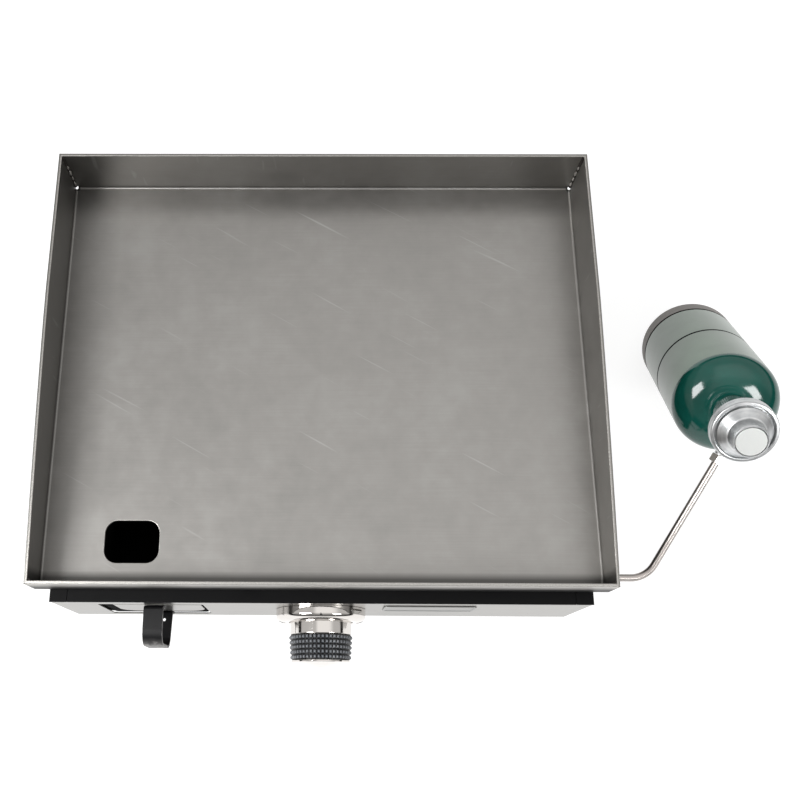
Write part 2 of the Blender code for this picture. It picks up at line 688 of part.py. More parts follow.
def base():
    side_panel("left_side_panel", -1)
    side_panel("right_side_panel", 1)

    inner = WEB_INNER - GAP
    flange_x = inner - SHEET / 2
    rear = bent_sheet("rear_panel",
                      [(-flange_x, REAR_PANEL_Y - FLANGE), (-flange_x, REAR_PANEL_Y), (flange_x, REAR_PANEL_Y),
                       (flange_x, REAR_PANEL_Y - FLANGE)],
                      2, PANEL_BOTTOM, BODY_TOP - SHEET - GAP, SHEET, black_coat())
    first = -(VENT_COUNT - 1) * VENT_PITCH / 2
    vent_top = BODY_TOP - VENT_DROP
    vents = boxes("cut_vents", [((first + i * VENT_PITCH - VENT_WIDTH / 2, REAR_PANEL_Y - SHEET - CUT,
                                  vent_top - VENT_HEIGHT),
                                 (first + i * VENT_PITCH + VENT_WIDTH / 2, REAR_PANEL_Y + SHEET + CUT,
                                  vent_top)) for i in range(VENT_COUNT)])
    cut(rear, vents)

    shield_x = inner - SHIELD_SHEET / 2
    shield = bent_sheet("heat_shield",
                        [(-shield_x, SHIELD_Z + SHIELD_FLANGE), (-shield_x, SHIELD_Z),
                         (shield_x, SHIELD_Z), (shield_x, SHIELD_Z + SHIELD_FLANGE)],
                        1, WEB_FRONT + SHEET + GAP, REAR_PANEL_Y - FLANGE - GAP, SHIELD_SHEET, aluminised())
    slot_ys = (BURNER_CENTRE_Y - SLOT_PITCH / 2, BURNER_CENTRE_Y + SLOT_PITCH / 2)
    slots = boxes("cut_shield_slots",
                  [((i * SLOT_PITCH - SLOT_LENGTH / 2, y - SLOT_WIDTH / 2, SHIELD_Z - SHIELD_SHEET),
                    (i * SLOT_PITCH + SLOT_LENGTH / 2, y + SLOT_WIDTH / 2, SHIELD_Z + SHIELD_SHEET))
                   for i in (-1.5, -0.5, 0.5, 1.5) for y in slot_ys])
    cut(shield, slots)

    rail_x = HALF_BODY - FLANGE - GAP
    rail = box("front_rail", (-rail_x, BODY_FRONT, BODY_TOP - SHEET),
               (rail_x, BODY_FRONT + RAIL_DEPTH, BODY_TOP), black_coat())
    weld(rail, box("rail_web", (-rail_x, WEB_FRONT, BODY_TOP - RAIL_WEB),
                   (rail_x, WEB_FRONT + SHEET, BODY_TOP - SHEET / 2)))


def feet():
    """Rubber feet, each pushed through a hole in the leg and held by its barb."""
    barb_low = FOOT_HEIGHT + SHEET + 2 * GAP
    barb_top = barb_low + FOOT_BARB_HEIGHT
    for side, across in ((-1, "left"), (1, "right")):
        for y, lengthwise in ((FOOT_FRONT_Y, "front"), (FOOT_REAR_Y, "rear")):
            turned("rubber_foot_%s_%s" % (lengthwise, across),
                   [(0, barb_top), (FOOT_NECK_RADIUS, barb_top), (FOOT_BARB_RADIUS, barb_low + 1 * MM),
                    (FOOT_BARB_RADIUS, barb_low), (FOOT_NECK_RADIUS, barb_low), (FOOT_NECK_RADIUS, FOOT_HEIGHT),
                    (FOOT_RADIUS, FOOT_HEIGHT), (FOOT_RADIUS - 1.5 * MM, 1 * MM), (FOOT_RADIUS - 2.5 * MM, 0),
                    (0, 0)],
                   (side * FOOT_X, y, GROUND), UP, soft_rubber(), 20)


def front_panel():
    panel = box("front_panel", (-HALF_BODY + GAP, PANEL_FACE, PANEL_BOTTOM),
                (HALF_BODY - GAP, PANEL_BACK, BODY_TOP - SHEET - GAP), stainless())
    window = box("cut_window", (WINDOW_LEFT, PANEL_FACE - CUT, PANEL_BOTTOM + WINDOW_LOW_STRIP),
                 (WINDOW_LEFT + WINDOW_WIDTH, PANEL_BACK + CUT, BODY_TOP - WINDOW_TOP_STRIP),
                 None, WINDOW_CORNER, along(1), 2)
    stem_hole = rod("cut_stem_hole", (0, PANEL_FACE - CUT, KNOB_Z), (0, PANEL_BACK + CUT, KNOB_Z),
                    STEM_RADIUS + 3 * STEM_CLEARANCE, None, 20)
    screw_holes = rods("cut_bezel_screw_holes",
                       [((x, PANEL_FACE - CUT, KNOB_Z), (x, BRACKET_BACK + CUT, KNOB_Z))
                        for x in (-BEZEL_SCREW_OFFSET, BEZEL_SCREW_OFFSET)],
                       BEZEL_SCREW_RADIUS + SCREW_CLEARANCE)
    cut(panel, window, stem_hole, screw_holes)

    left, right = NAMEPLATE_FROM_KNOB, NAMEPLATE_FROM_KNOB + NAMEPLATE_WIDTH
    top = BODY_TOP - NAMEPLATE_DROP
    bottom = top - NAMEPLATE_HEIGHT
    back = PANEL_FACE - GAP
    plate = box("blank_nameplate", (left, back - NAMEPLATE_GAUGE, bottom), (right, back, top), stainless(),
                NAMEPLATE_CORNER, along(1))
    cut(plate, box("cut_nameplate_field",
                   (left + NAMEPLATE_RIM, back - NAMEPLATE_GAUGE - CUT, bottom + NAMEPLATE_RIM),
                   (right - NAMEPLATE_RIM, back - NAMEPLATE_GAUGE / 2, top - NAMEPLATE_RIM),
                   None, NAMEPLATE_CORNER - NAMEPLATE_RIM, along(1)))


# Grease tray

def tray():
    left = WINDOW_LEFT + TRAY_CLEARANCE
    right = WINDOW_LEFT + WINDOW_WIDTH - TRAY_CLEARANCE
    bottom = PANEL_BOTTOM + WINDOW_LOW_STRIP + TRAY_CLEARANCE
    top = BODY_TOP - WINDOW_TOP_STRIP - TRAY_CLEARANCE
    pan_front = PANEL_BACK + GAP
    pan = box("tray_pan", (left, pan_front, bottom), (right, pan_front + TRAY_LENGTH, top), black_coat(),
              TRAY_CORNER, low_along_y, 3)
    cut(pan, box("cut_tray_inside", (left + TRAY_SHEET, pan_front + TRAY_SHEET, bottom + TRAY_SHEET),
                 (right - TRAY_SHEET, pan_front + TRAY_LENGTH - TRAY_SHEET, top + CUT), None,
                 TRAY_CORNER - TRAY_SHEET, low_along_y, 3))

    plate_top = top - FRONTLET_DROP
    frontlet = box("tray_front", (right - FRONTLET_WIDTH, PANEL_FACE, plate_top - FRONTLET_HEIGHT),
                   (right, PANEL_BACK, plate_top), stainless(), FRONTLET_CORNER, low_along_y, 5)

    # The handle is a strip bent into a loop. Its upper tab lies on the front plate, its lower tab on the pan.
    upper_y = PANEL_FACE - GAP - HANDLE_STRIP / 2
    lower_y = pan_front - GAP - HANDLE_STRIP / 2
    nose_y = PANEL_FACE - HANDLE_REACH + HANDLE_STRIP / 2
    high = plate_top - HANDLE_STRIP
    low = bottom + HANDLE_LOW_TAB + HANDLE_STRIP / 2
    nose_bottom = high - HANDLE_NOSE_HEIGHT
    tight, wide = HANDLE_STRIP * 1.25, HANDLE_BEND
    loop = rounded([(upper_y, high - HANDLE_TAB), (upper_y, high), (nose_y, high), (nose_y, nose_bottom),
                    (lower_y, low), (lower_y, low - HANDLE_LOW_TAB)], [tight, wide, wide, tight], 4)
    centre = WINDOW_LEFT + HANDLE_FROM_WINDOW
    left_edge, right_edge = centre - HANDLE_WIDTH / 2, centre + HANDLE_WIDTH / 2
    handle = bent_sheet("tray_handle", loop, 0, left_edge, right_edge, HANDLE_STRIP, black_coat())
    hole_x = right_edge - HANDLE_HOLE_INSET
    hole_y = lower_y - HANDLE_HOLE_INSET
    cut(handle, rod("cut_handle_hole", (hole_x, hole_y, low - HANDLE_LOW_TAB),
                    (hole_x, hole_y, low + HANDLE_LOW_TAB + HANDLE_STRIP), HANDLE_HOLE_RADIUS, None, 10))

    upper_face = upper_y - HANDLE_STRIP / 2 - GAP
    lower_face = lower_y - HANDLE_STRIP / 2 - GAP
    upper_rivet = high - HANDLE_TAB + RIVET_RADIUS + CUT
    lower_rivet = low - HANDLE_LOW_TAB + RIVET_RADIUS + CUT
    rivets = [rod("tray_rivet_upper", (centre, upper_face, upper_rivet),
                  (centre, upper_face - RIVET_HEIGHT, upper_rivet), RIVET_RADIUS, plated(), 12),
              rod("tray_rivet_lower", (centre, lower_face, lower_rivet),
                  (centre, lower_face - RIVET_HEIGHT, lower_rivet), RIVET_RADIUS, plated(), 12)]
    carry("tray_slide", (0, pan_front, bottom), pan, frontlet, handle, *rivets)

    for name, edge, inward in (("tray_rail_left", left - RAIL_CLEARANCE, 1),
                               ("tray_rail_right", right + RAIL_CLEARANCE, -1)):
        leg_x = edge - inward * RAIL_SHEET / 2
        shelf_z = bottom - GAP - RAIL_SHEET / 2
        rail_front = WEB_FRONT + SHEET + GAP
        bent_sheet(name, [(leg_x + inward * RAIL_SHELF, shelf_z), (leg_x, shelf_z),
                          (leg_x, BODY_TOP - SHEET - GAP)],
                   1, rail_front, rail_front + TRAY_LENGTH, RAIL_SHEET, aluminised())


# Knob, bezel and valve

def knob():
    face = Vector((0, PANEL_FACE, KNOB_Z))
    recess = BARREL_RADIUS + BARREL_CLEARANCE
    front = [(BEZEL_MOUTH + (BEZEL_RADIUS - BEZEL_MOUTH) * math.sin(math.radians(angle)),
              BEZEL_SIDE + (BEZEL_HEIGHT - BEZEL_SIDE) * math.cos(math.radians(angle)))
             for angle in (0, 22, 45, 68, 90)]
    bezel = turned("knob_bezel",
                   front + [(BEZEL_RADIUS, GAP), (STEM_RADIUS + 3 * STEM_CLEARANCE, GAP),
                    (STEM_RADIUS + 3 * STEM_CLEARANCE, BEZEL_FLOOR),
                    (recess, BEZEL_FLOOR), (recess, BEZEL_HEIGHT - 1 * MM),
                    (recess + 1 * MM, BEZEL_HEIGHT)], face, FORWARD, plated(), 40, ring=True)
    screw_xs = (-BEZEL_SCREW_OFFSET, BEZEL_SCREW_OFFSET)
    seat = PANEL_FACE - BEZEL_SCREW_SEAT
    pockets = rods("cut_bezel_pockets", [((x, seat, KNOB_Z), (x, seat - BEZEL_HEIGHT, KNOB_Z))
                                         for x in screw_xs], BEZEL_SCREW_HEAD + GAP)
    shafts = rods("cut_bezel_shafts", [((x, PANEL_FACE + CUT, KNOB_Z), (x, seat - CUT, KNOB_Z))
                                       for x in screw_xs], BEZEL_SCREW_RADIUS + SCREW_CLEARANCE)
    cut(bezel, pockets, shafts)
    for name, x in zip(("bezel_screw_left", "bezel_screw_right"), screw_xs):
        turned(name, [(0, BEZEL_SCREW_HEAD_HEIGHT), (BEZEL_SCREW_HEAD - 0.6 * MM, BEZEL_SCREW_HEAD_HEIGHT),
                      (BEZEL_SCREW_HEAD, BEZEL_SCREW_HEAD_HEIGHT - 0.6 * MM), (BEZEL_SCREW_HEAD, 0),
                      (BEZEL_SCREW_RADIUS, 0), (BEZEL_SCREW_RADIUS, seat - BRACKET_BACK - BEZEL_SCREW_TAIL),
                      (0, seat - BRACKET_BACK - BEZEL_SCREW_TAIL)],
               (x, seat - GAP, KNOB_Z), FORWARD, plated(), 12)

    barrel_rear = BEZEL_FLOOR + KNOB_TRAVEL + 2 * GAP
    stem_front = GRIP_END - HUB_FACE
    bore = STEM_RADIUS + GAP
    hub = GRIP_BORE - GAP
    barrel = turned("knob_barrel",
                    [(0, GRIP_END - GAP), (hub, GRIP_END - GAP), (hub, BARREL_END),
                     (BARREL_RADIUS, BARREL_END), (BARREL_RADIUS, barrel_rear), (bore, barrel_rear),
                     (bore, stem_front + GAP), (0, stem_front + GAP)],
                    face, FORWARD, plated(), 40)
    grip = turned("knob_grip",
                  [(GRIP_BORE, GRIP_END), (GRIP_FRONT_RADIUS - 0.8 * MM, GRIP_END),
                   (GRIP_FRONT_RADIUS, GRIP_END - 0.8 * MM), (GRIP_REAR_RADIUS, BARREL_END + 1.2 * MM),
                   (GRIP_REAR_RADIUS - 0.8 * MM, BARREL_END + GAP), (GRIP_BORE, BARREL_END + GAP)],
                  face, FORWARD, soft_rubber(), 40, ring=True)
    base_height = GRIP_END + GAP
    dome = [(CAP_RADIUS * share, base_height + CAP_HEIGHT - (CAP_HEIGHT - CAP_RIM) * share ** 1.2)
            for share in (0, 0.2, 0.4, 0.6, 0.8, 1)]
    cap = turned("knob_cap", dome + [(CAP_RADIUS, base_height), (0, base_height)], face, FORWARD, plated(), 40)

    stem = rod("valve_stem", face - FORWARD * STEM_REACH, face + FORWARD * stem_front, STEM_RADIUS,
               yellow_metal(), 16)
    carry("knob_turn", face, barrel, grip, cap, stem)


def valve():
    bracket = box("valve_bracket",
                  (-BRACKET_WIDTH / 2, WEB_FRONT, KNOB_Z - BRACKET_BELOW),
                  (BRACKET_WIDTH / 2, BRACKET_BACK, KNOB_Z + BRACKET_ABOVE), aluminised(),
                  BRACKET_CORNER, along(1), 3)
    cut(bracket, rod("cut_bracket_hole", (0, WEB_FRONT - CUT, KNOB_Z), (0, BRACKET_BACK + CUT, KNOB_Z),
                     STEM_RADIUS + 2 * STEM_CLEARANCE, None, 20),
        bpy.data.objects["cut_bezel_screw_holes"])

    body = rod("valve_body", (0, VALVE_FRONT, KNOB_Z), (0, VALVE_REAR, KNOB_Z), VALVE_RADIUS, cast_metal(), 24)
    weld(body, rod("valve_inlet", (0, GAS_LINE_Y, KNOB_Z),
                   (VALVE_RADIUS + INLET_BOSS_REACH, GAS_LINE_Y, KNOB_Z), INLET_BOSS_RADIUS, None, 16))
    bore = STEM_RADIUS + STEM_CLEARANCE
    cut(body, rod("cut_valve_bore", (0, VALVE_FRONT - CUT, KNOB_Z),
                  (0, VALVE_FRONT + VALVE_BORE_DEPTH, KNOB_Z), bore, None, 16),
        rod("cut_orifice_seat", (0, VALVE_REAR - ORIFICE_THREAD_LENGTH - CUT, KNOB_Z),
            (0, VALVE_REAR + CUT, KNOB_Z), ORIFICE_THREAD_RADIUS + SCREW_CLEARANCE, None, 12))

    plunger_front = PANEL_FACE + STEM_REACH + GAP
    plunger = rod("valve_plunger", (0, plunger_front, KNOB_Z), (0, plunger_front + PLUNGER_LENGTH, KNOB_Z),
                  STEM_RADIUS, plated(), 16)
    spring_start = plunger_front + PLUNGER_LENGTH + GAP
    spring_room = VALVE_FRONT + VALVE_BORE_DEPTH - spring_start - KNOB_TRAVEL - GAP
    spring = coil("valve_spring", Vector((0, spring_start, KNOB_Z)), -FORWARD,
                  bore - VALVE_SPRING_WIRE - SPRING_CLEARANCE, VALVE_SPRING_WIRE, spring_room, VALVE_SPRING_TURNS)
    carry("knob_push", (0, PANEL_FACE, KNOB_Z), plunger, spring)

    turned("gas_orifice",
           [(0, ORIFICE_LENGTH), (1.2 * MM, ORIFICE_LENGTH), (2.2 * MM, ORIFICE_LENGTH - 3 * MM),
            (2.2 * MM, 4 * MM), (4.6 * MM, 4 * MM), (4.6 * MM, GAP), (ORIFICE_THREAD_RADIUS, GAP),
            (ORIFICE_THREAD_RADIUS, -ORIFICE_THREAD_LENGTH), (0, -ORIFICE_THREAD_LENGTH)],
           (0, VALVE_REAR, KNOB_Z), -FORWARD, yellow_metal(), 16)

    rod("inlet_pipe", (VALVE_RADIUS + INLET_BOSS_REACH + GAP, GAS_LINE_Y, KNOB_Z),
        (SOCKET_X, GAS_LINE_Y, KNOB_Z), INLET_PIPE_RADIUS, yellow_metal(), 16)
    turned("inlet_socket",
           [(0, SOCKET_FLOOR), (SOCKET_BORE, SOCKET_FLOOR), (SOCKET_BORE, SOCKET_LENGTH + SOCKET_NECK_LENGTH),
            (SOCKET_NECK, SOCKET_LENGTH + SOCKET_NECK_LENGTH), (SOCKET_NECK, SOCKET_LENGTH - GAP),
            (SOCKET_RADIUS, SOCKET_LENGTH - GAP), (SOCKET_RADIUS, GAP), (0, GAP)],
           (SOCKET_X, GAS_LINE_Y, KNOB_Z), RIGHT, yellow_metal(), 24)


def coil(name, start, direction, radius, wire, length, turns, finish=None):
    """A round wire spring, from a helix about the direction."""
    points = []
    per_turn = 10
    turn = turn_to(direction).to_matrix()
    for i in range(turns * per_turn + 1):
        angle = 2 * math.pi * i / per_turn
        height = wire + (length - 2 * wire) * i / (turns * per_turn)
        points.append(start + turn @ Vector((radius * math.cos(angle), radius * math.sin(angle), height)))
    return tube(name, points, wire, finish or plated(), 1)


# Igniter

def igniter():
    piezo_z = KNOB_Z - VALVE_RADIUS - PIEZO_RADIUS - PIEZO_CLEARANCE
    piezo_end = VALVE_FRONT + PIEZO_LENGTH
    rod("piezo_igniter", (0, VALVE_FRONT, piezo_z), (0, piezo_end, piezo_z), PIEZO_RADIUS, soft_rubber(), 16)
    ceramic_low = -BURNER_DROP - CERAMIC_BELOW
    ceramic_high = ceramic_low + CERAMIC_LENGTH
    lead_z = piezo_z - LEAD_DROP
    route = rounded([(0, piezo_end + GAP, piezo_z), (0, piezo_end + LEAD_STRAIGHT, piezo_z),
                     (ELECTRODE_X, ELECTRODE_Y - LEAD_STRAIGHT * 2, lead_z), (ELECTRODE_X, ELECTRODE_Y, lead_z),
                     (ELECTRODE_X, ELECTRODE_Y, ceramic_low - GAP)], [LEAD_BEND] * 3, 4)
    tube("igniter_lead", route, LEAD_RADIUS, soft_rubber(), 1)
    electrode = rod("spark_electrode", (ELECTRODE_X, ELECTRODE_Y, ceramic_low),
                    (ELECTRODE_X, ELECTRODE_Y, ceramic_high), CERAMIC_RADIUS,
                    material("white ceramic", "e6e3da", 0.4, 0.0), 14)
    pin_top = ceramic_high + PIN_HEIGHT
    weld(electrode, rods("electrode_pin", [((ELECTRODE_X, ELECTRODE_Y, ceramic_high - CUT),
                                            (ELECTRODE_X, ELECTRODE_Y, pin_top))], PIN_RADIUS, None, 8))
    foot_x = ELECTRODE_X + ELECTRODE_BRACKET_REACH
    foot_z = SHIELD_TOP + GAP + RAIL_SHEET / 2
    arm_z = ceramic_low + CERAMIC_LENGTH / 2
    bracket = bent_sheet("electrode_bracket",
                         [(foot_x + FLANGE, foot_z), (foot_x, foot_z), (foot_x, arm_z),
                          (ELECTRODE_X - 2 * CERAMIC_RADIUS, arm_z)],
                         1, ELECTRODE_Y - 2 * CERAMIC_RADIUS, ELECTRODE_Y + 2 * CERAMIC_RADIUS, RAIL_SHEET,
                         aluminised())
    cut(bracket, rod("cut_ceramic_hole", (ELECTRODE_X, ELECTRODE_Y, arm_z - RAIL_SHEET - CUT),
                     (ELECTRODE_X, ELECTRODE_Y, arm_z + RAIL_SHEET + CUT), CERAMIC_RADIUS + GAP, None, 14))


# Burner

def burner():
    z = -BURNER_DROP
    rear = BURNER_CENTRE_Y + TUBE_LENGTH / 2
    front = BURNER_CENTRE_Y - TUBE_LENGTH / 2
    inner = TUBE_RADIUS - TUBE_WALL
    for side, name in ((-1, "burner_tube_left"), (1, "burner_tube_right")):
        x = side * TUBE_OFFSET
        gas_tube = rod(name, (x, front, z), (x, rear, z), TUBE_RADIUS, aluminised(), 16)
        hollow = rod("cut_hollow_" + name, (x, front + TUBE_WALL, z), (x, rear - TUBE_WALL, z), inner, None, 16)
        first = BURNER_CENTRE_Y - (PORT_COUNT - 1) * PORT_PITCH / 2
        ports = rods("cut_ports_" + name,
                     [((x, first + i * PORT_PITCH, z), (x, first + i * PORT_PITCH, z + TUBE_RADIUS + CUT))
                      for i in range(PORT_COUNT)], PORT_RADIUS, None, 6)
        inlet = rod("cut_inlet_" + name, (x, BURNER_CENTRE_Y, z), (x - side * (TUBE_RADIUS + CUT),
                                                                   BURNER_CENTRE_Y, z), inner * 0.8, None, 12)
        cut(gas_tube, hollow, ports, inlet)

    reach = TUBE_OFFSET - TUBE_RADIUS / 2
    cross = rod("burner_cross_tube", (-reach, BURNER_CENTRE_Y, z), (reach, BURNER_CENTRE_Y, z),
                CROSS_RADIUS, aluminised(), 16)
    cut(cross, rod("cut_cross_hollow", (-reach - CUT, BURNER_CENTRE_Y, z), (reach + CUT, BURNER_CENTRE_Y, z),
                   CROSS_RADIUS - TUBE_WALL, None, 16),
        rods("cut_saddles", [((side * TUBE_OFFSET, front - CUT, z), (side * TUBE_OFFSET, rear + CUT, z))
                             for side in (-1, 1)], TUBE_RADIUS + GAP, None, 16),
        rod("cut_cross_inlet", (0, BURNER_CENTRE_Y, z), (0, BURNER_CENTRE_Y - CROSS_RADIUS - CUT, z),
            VENTURI_RADIUS - 2 * TUBE_WALL, None, 12))

    mouth = VALVE_REAR + ORIFICE_LENGTH - ORIFICE_INSERTION
    length = BURNER_CENTRE_Y - CROSS_RADIUS / 2 - mouth
    outer = [(VENTURI_RADIUS, length), (THROAT_RADIUS, MOUTH_LENGTH + MOUTH_TAPER), (MOUTH_RADIUS, MOUTH_LENGTH),
             (MOUTH_RADIUS, 0)]
    inside = [(radius - TUBE_WALL, height) for radius, height in reversed(outer)]
    venturi = turned("burner_venturi", outer + inside, (0, mouth, z), -FORWARD, aluminised(), 20, ring=True)
    half_window = AIR_WINDOW_HEIGHT / 2
    windows = boxes("cut_air_windows",
                    [((-MOUTH_RADIUS - CUT, mouth + AIR_WINDOW_SETBACK, z - half_window),
                      (MOUTH_RADIUS + CUT, mouth + AIR_WINDOW_SETBACK + AIR_WINDOW_LENGTH, z + half_window))])
    cut(venturi, windows, rod("cut_venturi_saddle", (-2 * VENTURI_RADIUS, BURNER_CENTRE_Y, z),
                              (2 * VENTURI_RADIUS, BURNER_CENTRE_Y, z), CROSS_RADIUS + GAP, None, 16))

    sleeve = MOUTH_RADIUS + SHUTTER_CLEARANCE
    shutter = turned("air_shutter",
                     [(sleeve + TUBE_WALL, SHUTTER_LENGTH), (sleeve + TUBE_WALL, -TUBE_WALL - GAP),
                      (SHUTTER_EYE, -TUBE_WALL - GAP), (SHUTTER_EYE, -GAP), (sleeve, -GAP),
                      (sleeve, SHUTTER_LENGTH)],
                     (0, mouth, z), -FORWARD, aluminised(), 24, ring=True)
    wide = sleeve + TUBE_WALL + CUT
    cut(shutter, boxes("cut_shutter_windows",
                       [((-wide, mouth + AIR_WINDOW_SETBACK, z - half_window),
                         (wide, mouth + AIR_WINDOW_SETBACK + AIR_WINDOW_LENGTH, z + half_window))]))
    carry("air_shutter_turn", (0, mouth, z), shutter)

    half = TUBE_OFFSET + TUBE_RADIUS + BURNER_BRACKET_MARGIN
    for name, y in (("burner_bracket_front", front + BURNER_BRACKET_INSET),
                    ("burner_bracket_rear", rear - BURNER_BRACKET_INSET)):
        back = y + BRACKET_SHEET
        bracket = box(name, (-half, y, SHIELD_TOP + GAP), (half, back, z - TUBE_RADIUS / 2), aluminised())
        cut(bracket, rods("cut_saddles_" + name,
                          [((side * TUBE_OFFSET, y - CUT, z), (side * TUBE_OFFSET, back + CUT, z))
                           for side in (-1, 1)], TUBE_RADIUS + GAP, None, 16))
        if y < BURNER_CENTRE_Y:
            lead_way = LEAD_RADIUS + LEAD_CLEARANCE
            cut(bracket, rod("cut_venturi_rest", (0, y - CUT, z), (0, back + CUT, z),
                             VENTURI_RADIUS + GAP, None, 20),
                box("cut_lead_way", (ELECTRODE_X - lead_way, y - CUT, SHIELD_TOP + GAP + 3 * MM),
                    (ELECTRODE_X + lead_way, back + CUT, z)))


# Gas line

def gas_line():
    neck_end = SOCKET_X + SOCKET_LENGTH + SOCKET_NECK_LENGTH
    start = Vector((SOCKET_X + SOCKET_FLOOR + PLUG_CLEARANCE, GAS_LINE_Y, KNOB_Z))
    nut_near = OUTLET_REACH + GAP
    finish_point = TUBE_AIM + TUBE_DIRECTION * (nut_near + GAP)
    line = tube("gas_tube", rounded([start, GAS_BEND, finish_point], [GAS_TUBE_BEND], 8), GAS_TUBE_RADIUS,
                plated(), 3)
    plug_length = neck_end - start.x
    plug = turned("tube_plug",
                  [(SOCKET_BORE - GAP, plug_length), (SOCKET_BORE - GAP, 0), (GAS_TUBE_RADIUS + GAP, 0),
                   (GAS_TUBE_RADIUS + GAP, plug_length)], start, RIGHT, yellow_metal(), 20, ring=True)
    nut_start = HALF_BODY + COUPLING_STANDOFF
    nut = rod("coupling_nut", (nut_start, GAS_LINE_Y, KNOB_Z), (nut_start + COUPLING_LENGTH, GAS_LINE_Y, KNOB_Z),
              COUPLING_RADIUS, yellow_metal(), 6)
    cut(nut, rod("cut_nut_thread", (nut_start - CUT, GAS_LINE_Y, KNOB_Z), (neck_end + GAP, GAS_LINE_Y, KNOB_Z),
                 SOCKET_NECK + THREAD_CLEARANCE, None, 24),
        rod("cut_nut_bore", (nut_start, GAS_LINE_Y, KNOB_Z),
            (nut_start + COUPLING_LENGTH + CUT, GAS_LINE_Y, KNOB_Z), GAS_TUBE_RADIUS + THREAD_CLEARANCE, None, 16))
    carry("coupling_nut_turn", (nut_start, GAS_LINE_Y, KNOB_Z), nut)

    near = TUBE_AIM + TUBE_DIRECTION * nut_near
    far = TUBE_AIM + TUBE_DIRECTION * (nut_near + OUTLET_NUT_LENGTH)
    outlet_nut = rod("outlet_nut", near, far, OUTLET_NUT_RADIUS, plated(), 6)
    cut(outlet_nut, rod("cut_outlet_nut", near - TUBE_DIRECTION * CUT, far + TUBE_DIRECTION * CUT,
                        GAS_TUBE_RADIUS + GAP, None, 16))
    pieces = [line, plug, outlet_nut] + regulator()
    carry("gas_line_swivel", (HALF_BODY, GAS_LINE_Y, KNOB_Z), *pieces)


def regulator():
    centre, axis = REGULATOR_CENTRE, BOTTLE_AXIS
    rim_top = BODY_RIM_TOP
    chamber = BODY_RIM - CHAMBER_WALL
    body = turned("regulator_body",
                  [(chamber, rim_top), (BODY_RIM, rim_top), (BODY_RIM, rim_top - 3 * MM),
                   (BODY_NECK + 1.5 * MM, BODY_BASE + 5 * MM), (BODY_NECK - 2.5 * MM, BODY_BASE + 2 * MM),
                   (BODY_NECK - 2.5 * MM, BODY_BASE), (INLET_EYE, BODY_BASE),
                   (INLET_EYE, rim_top - CHAMBER_DEPTH), (chamber, rim_top - CHAMBER_DEPTH)],
                  centre, axis, cast_metal(), 32, ring=True)
    weld(body, rod("outlet_boss", TUBE_AIM + TUBE_DIRECTION * OUTLET_START, TUBE_AIM + TUBE_DIRECTION * OUTLET_REACH,
                   OUTLET_RADIUS, None, 16))
    cut(body, rod("cut_outlet", TUBE_AIM + TUBE_DIRECTION * (OUTLET_START + 3 * MM),
                  TUBE_AIM + TUBE_DIRECTION * (OUTLET_REACH + CUT), 2 * MM, None, 8))

    disc_low = rim_top + GAP
    cover_low = disc_low + DISC_THICKNESS + GAP
    diaphragm = turned("diaphragm", [(0, cover_low - GAP), (BODY_RIM - GAP, cover_low - GAP),
                                     (BODY_RIM - GAP, disc_low), (0, disc_low)],
                       centre, axis, soft_rubber(), 32)
    lip = cover_low + COVER_LIP
    shelf = lip + COVER_WALL_HEIGHT
    opening = BOSS_RADIUS - BOSS_WALL
    cover = turned("regulator_cover",
                   [(opening, BOSS_TOP), (BOSS_RADIUS - 1 * MM, BOSS_TOP), (BOSS_RADIUS, BOSS_TOP - 1 * MM),
                    (BOSS_RADIUS + 0.8 * MM, BOSS_FOOT), (COVER_RADIUS, shelf + 1 * MM), (COVER_RADIUS, lip),
                    (BODY_RIM, lip), (BODY_RIM, cover_low), (chamber, cover_low), (chamber, shelf),
                    (opening, BOSS_FOOT - 1 * MM)], centre, axis, cast_metal(), 36, ring=True)
    crimp_in = BODY_RIM + GAP
    crimp_low = rim_top - CRIMP_REACH
    crimp = turned("crimp_ring",
                   [(CRIMP_RADIUS, shelf + 0.4 * MM), (CRIMP_RADIUS, crimp_low), (crimp_in, crimp_low),
                    (crimp_in, lip + GAP), (COVER_RADIUS + 1 * MM, lip + GAP),
                    (COVER_RADIUS + 1 * MM, shelf + 0.4 * MM), (COVER_RADIUS + 2.2 * MM, shelf + 1.4 * MM),
                    (CRIMP_RADIUS - 1 * MM, shelf + 1.4 * MM)],
                   centre, axis, cast_metal(), 36, ring=True)
    cap_radius = opening - THREAD_CLEARANCE
    cap_top = BOSS_TOP + 0.4 * MM
    cap_low = cap_top - CAP_THICKNESS
    spring = coil("regulator_spring", centre + axis * cover_low, axis, SPRING_RADIUS, SPRING_WIRE,
                  cap_low - GAP - cover_low, SPRING_TURNS)
    cap = turned("regulator_cap", [(0, cap_top), (cap_radius - 0.4 * MM, cap_top),
                                   (cap_radius, cap_top - 0.4 * MM), (cap_radius, cap_low), (0, cap_low)],
                 centre, axis, cast_metal(), 32)
    bore = NECK_RADIUS + THREAD_CLEARANCE
    seal_top = SEAL_BOTTOM + SEAL_THICKNESS
    collar = turned("inlet_collar",
                    [(COLLAR_RADIUS - 1 * MM, COLLAR_TOP), (COLLAR_RADIUS, COLLAR_TOP - 1 * MM),
                     (COLLAR_RADIUS, COLLAR_BOTTOM + 1 * MM), (COLLAR_RADIUS - 1 * MM, COLLAR_BOTTOM),
                     (bore, COLLAR_BOTTOM), (bore, seal_top + GAP), (INLET_EYE, seal_top + GAP),
                     (INLET_EYE, COLLAR_TOP)],
                    centre, axis, cast_metal(), 24, ring=True)
    seal = turned("inlet_seal", [(NECK_RADIUS, seal_top), (NECK_RADIUS, SEAL_BOTTOM), (SEAL_EYE, SEAL_BOTTOM),
                                 (SEAL_EYE, seal_top)], centre, axis, soft_rubber(), 20, ring=True)
    return [body, diaphragm, cover, crimp, spring, cap, collar, seal]


# Bottle

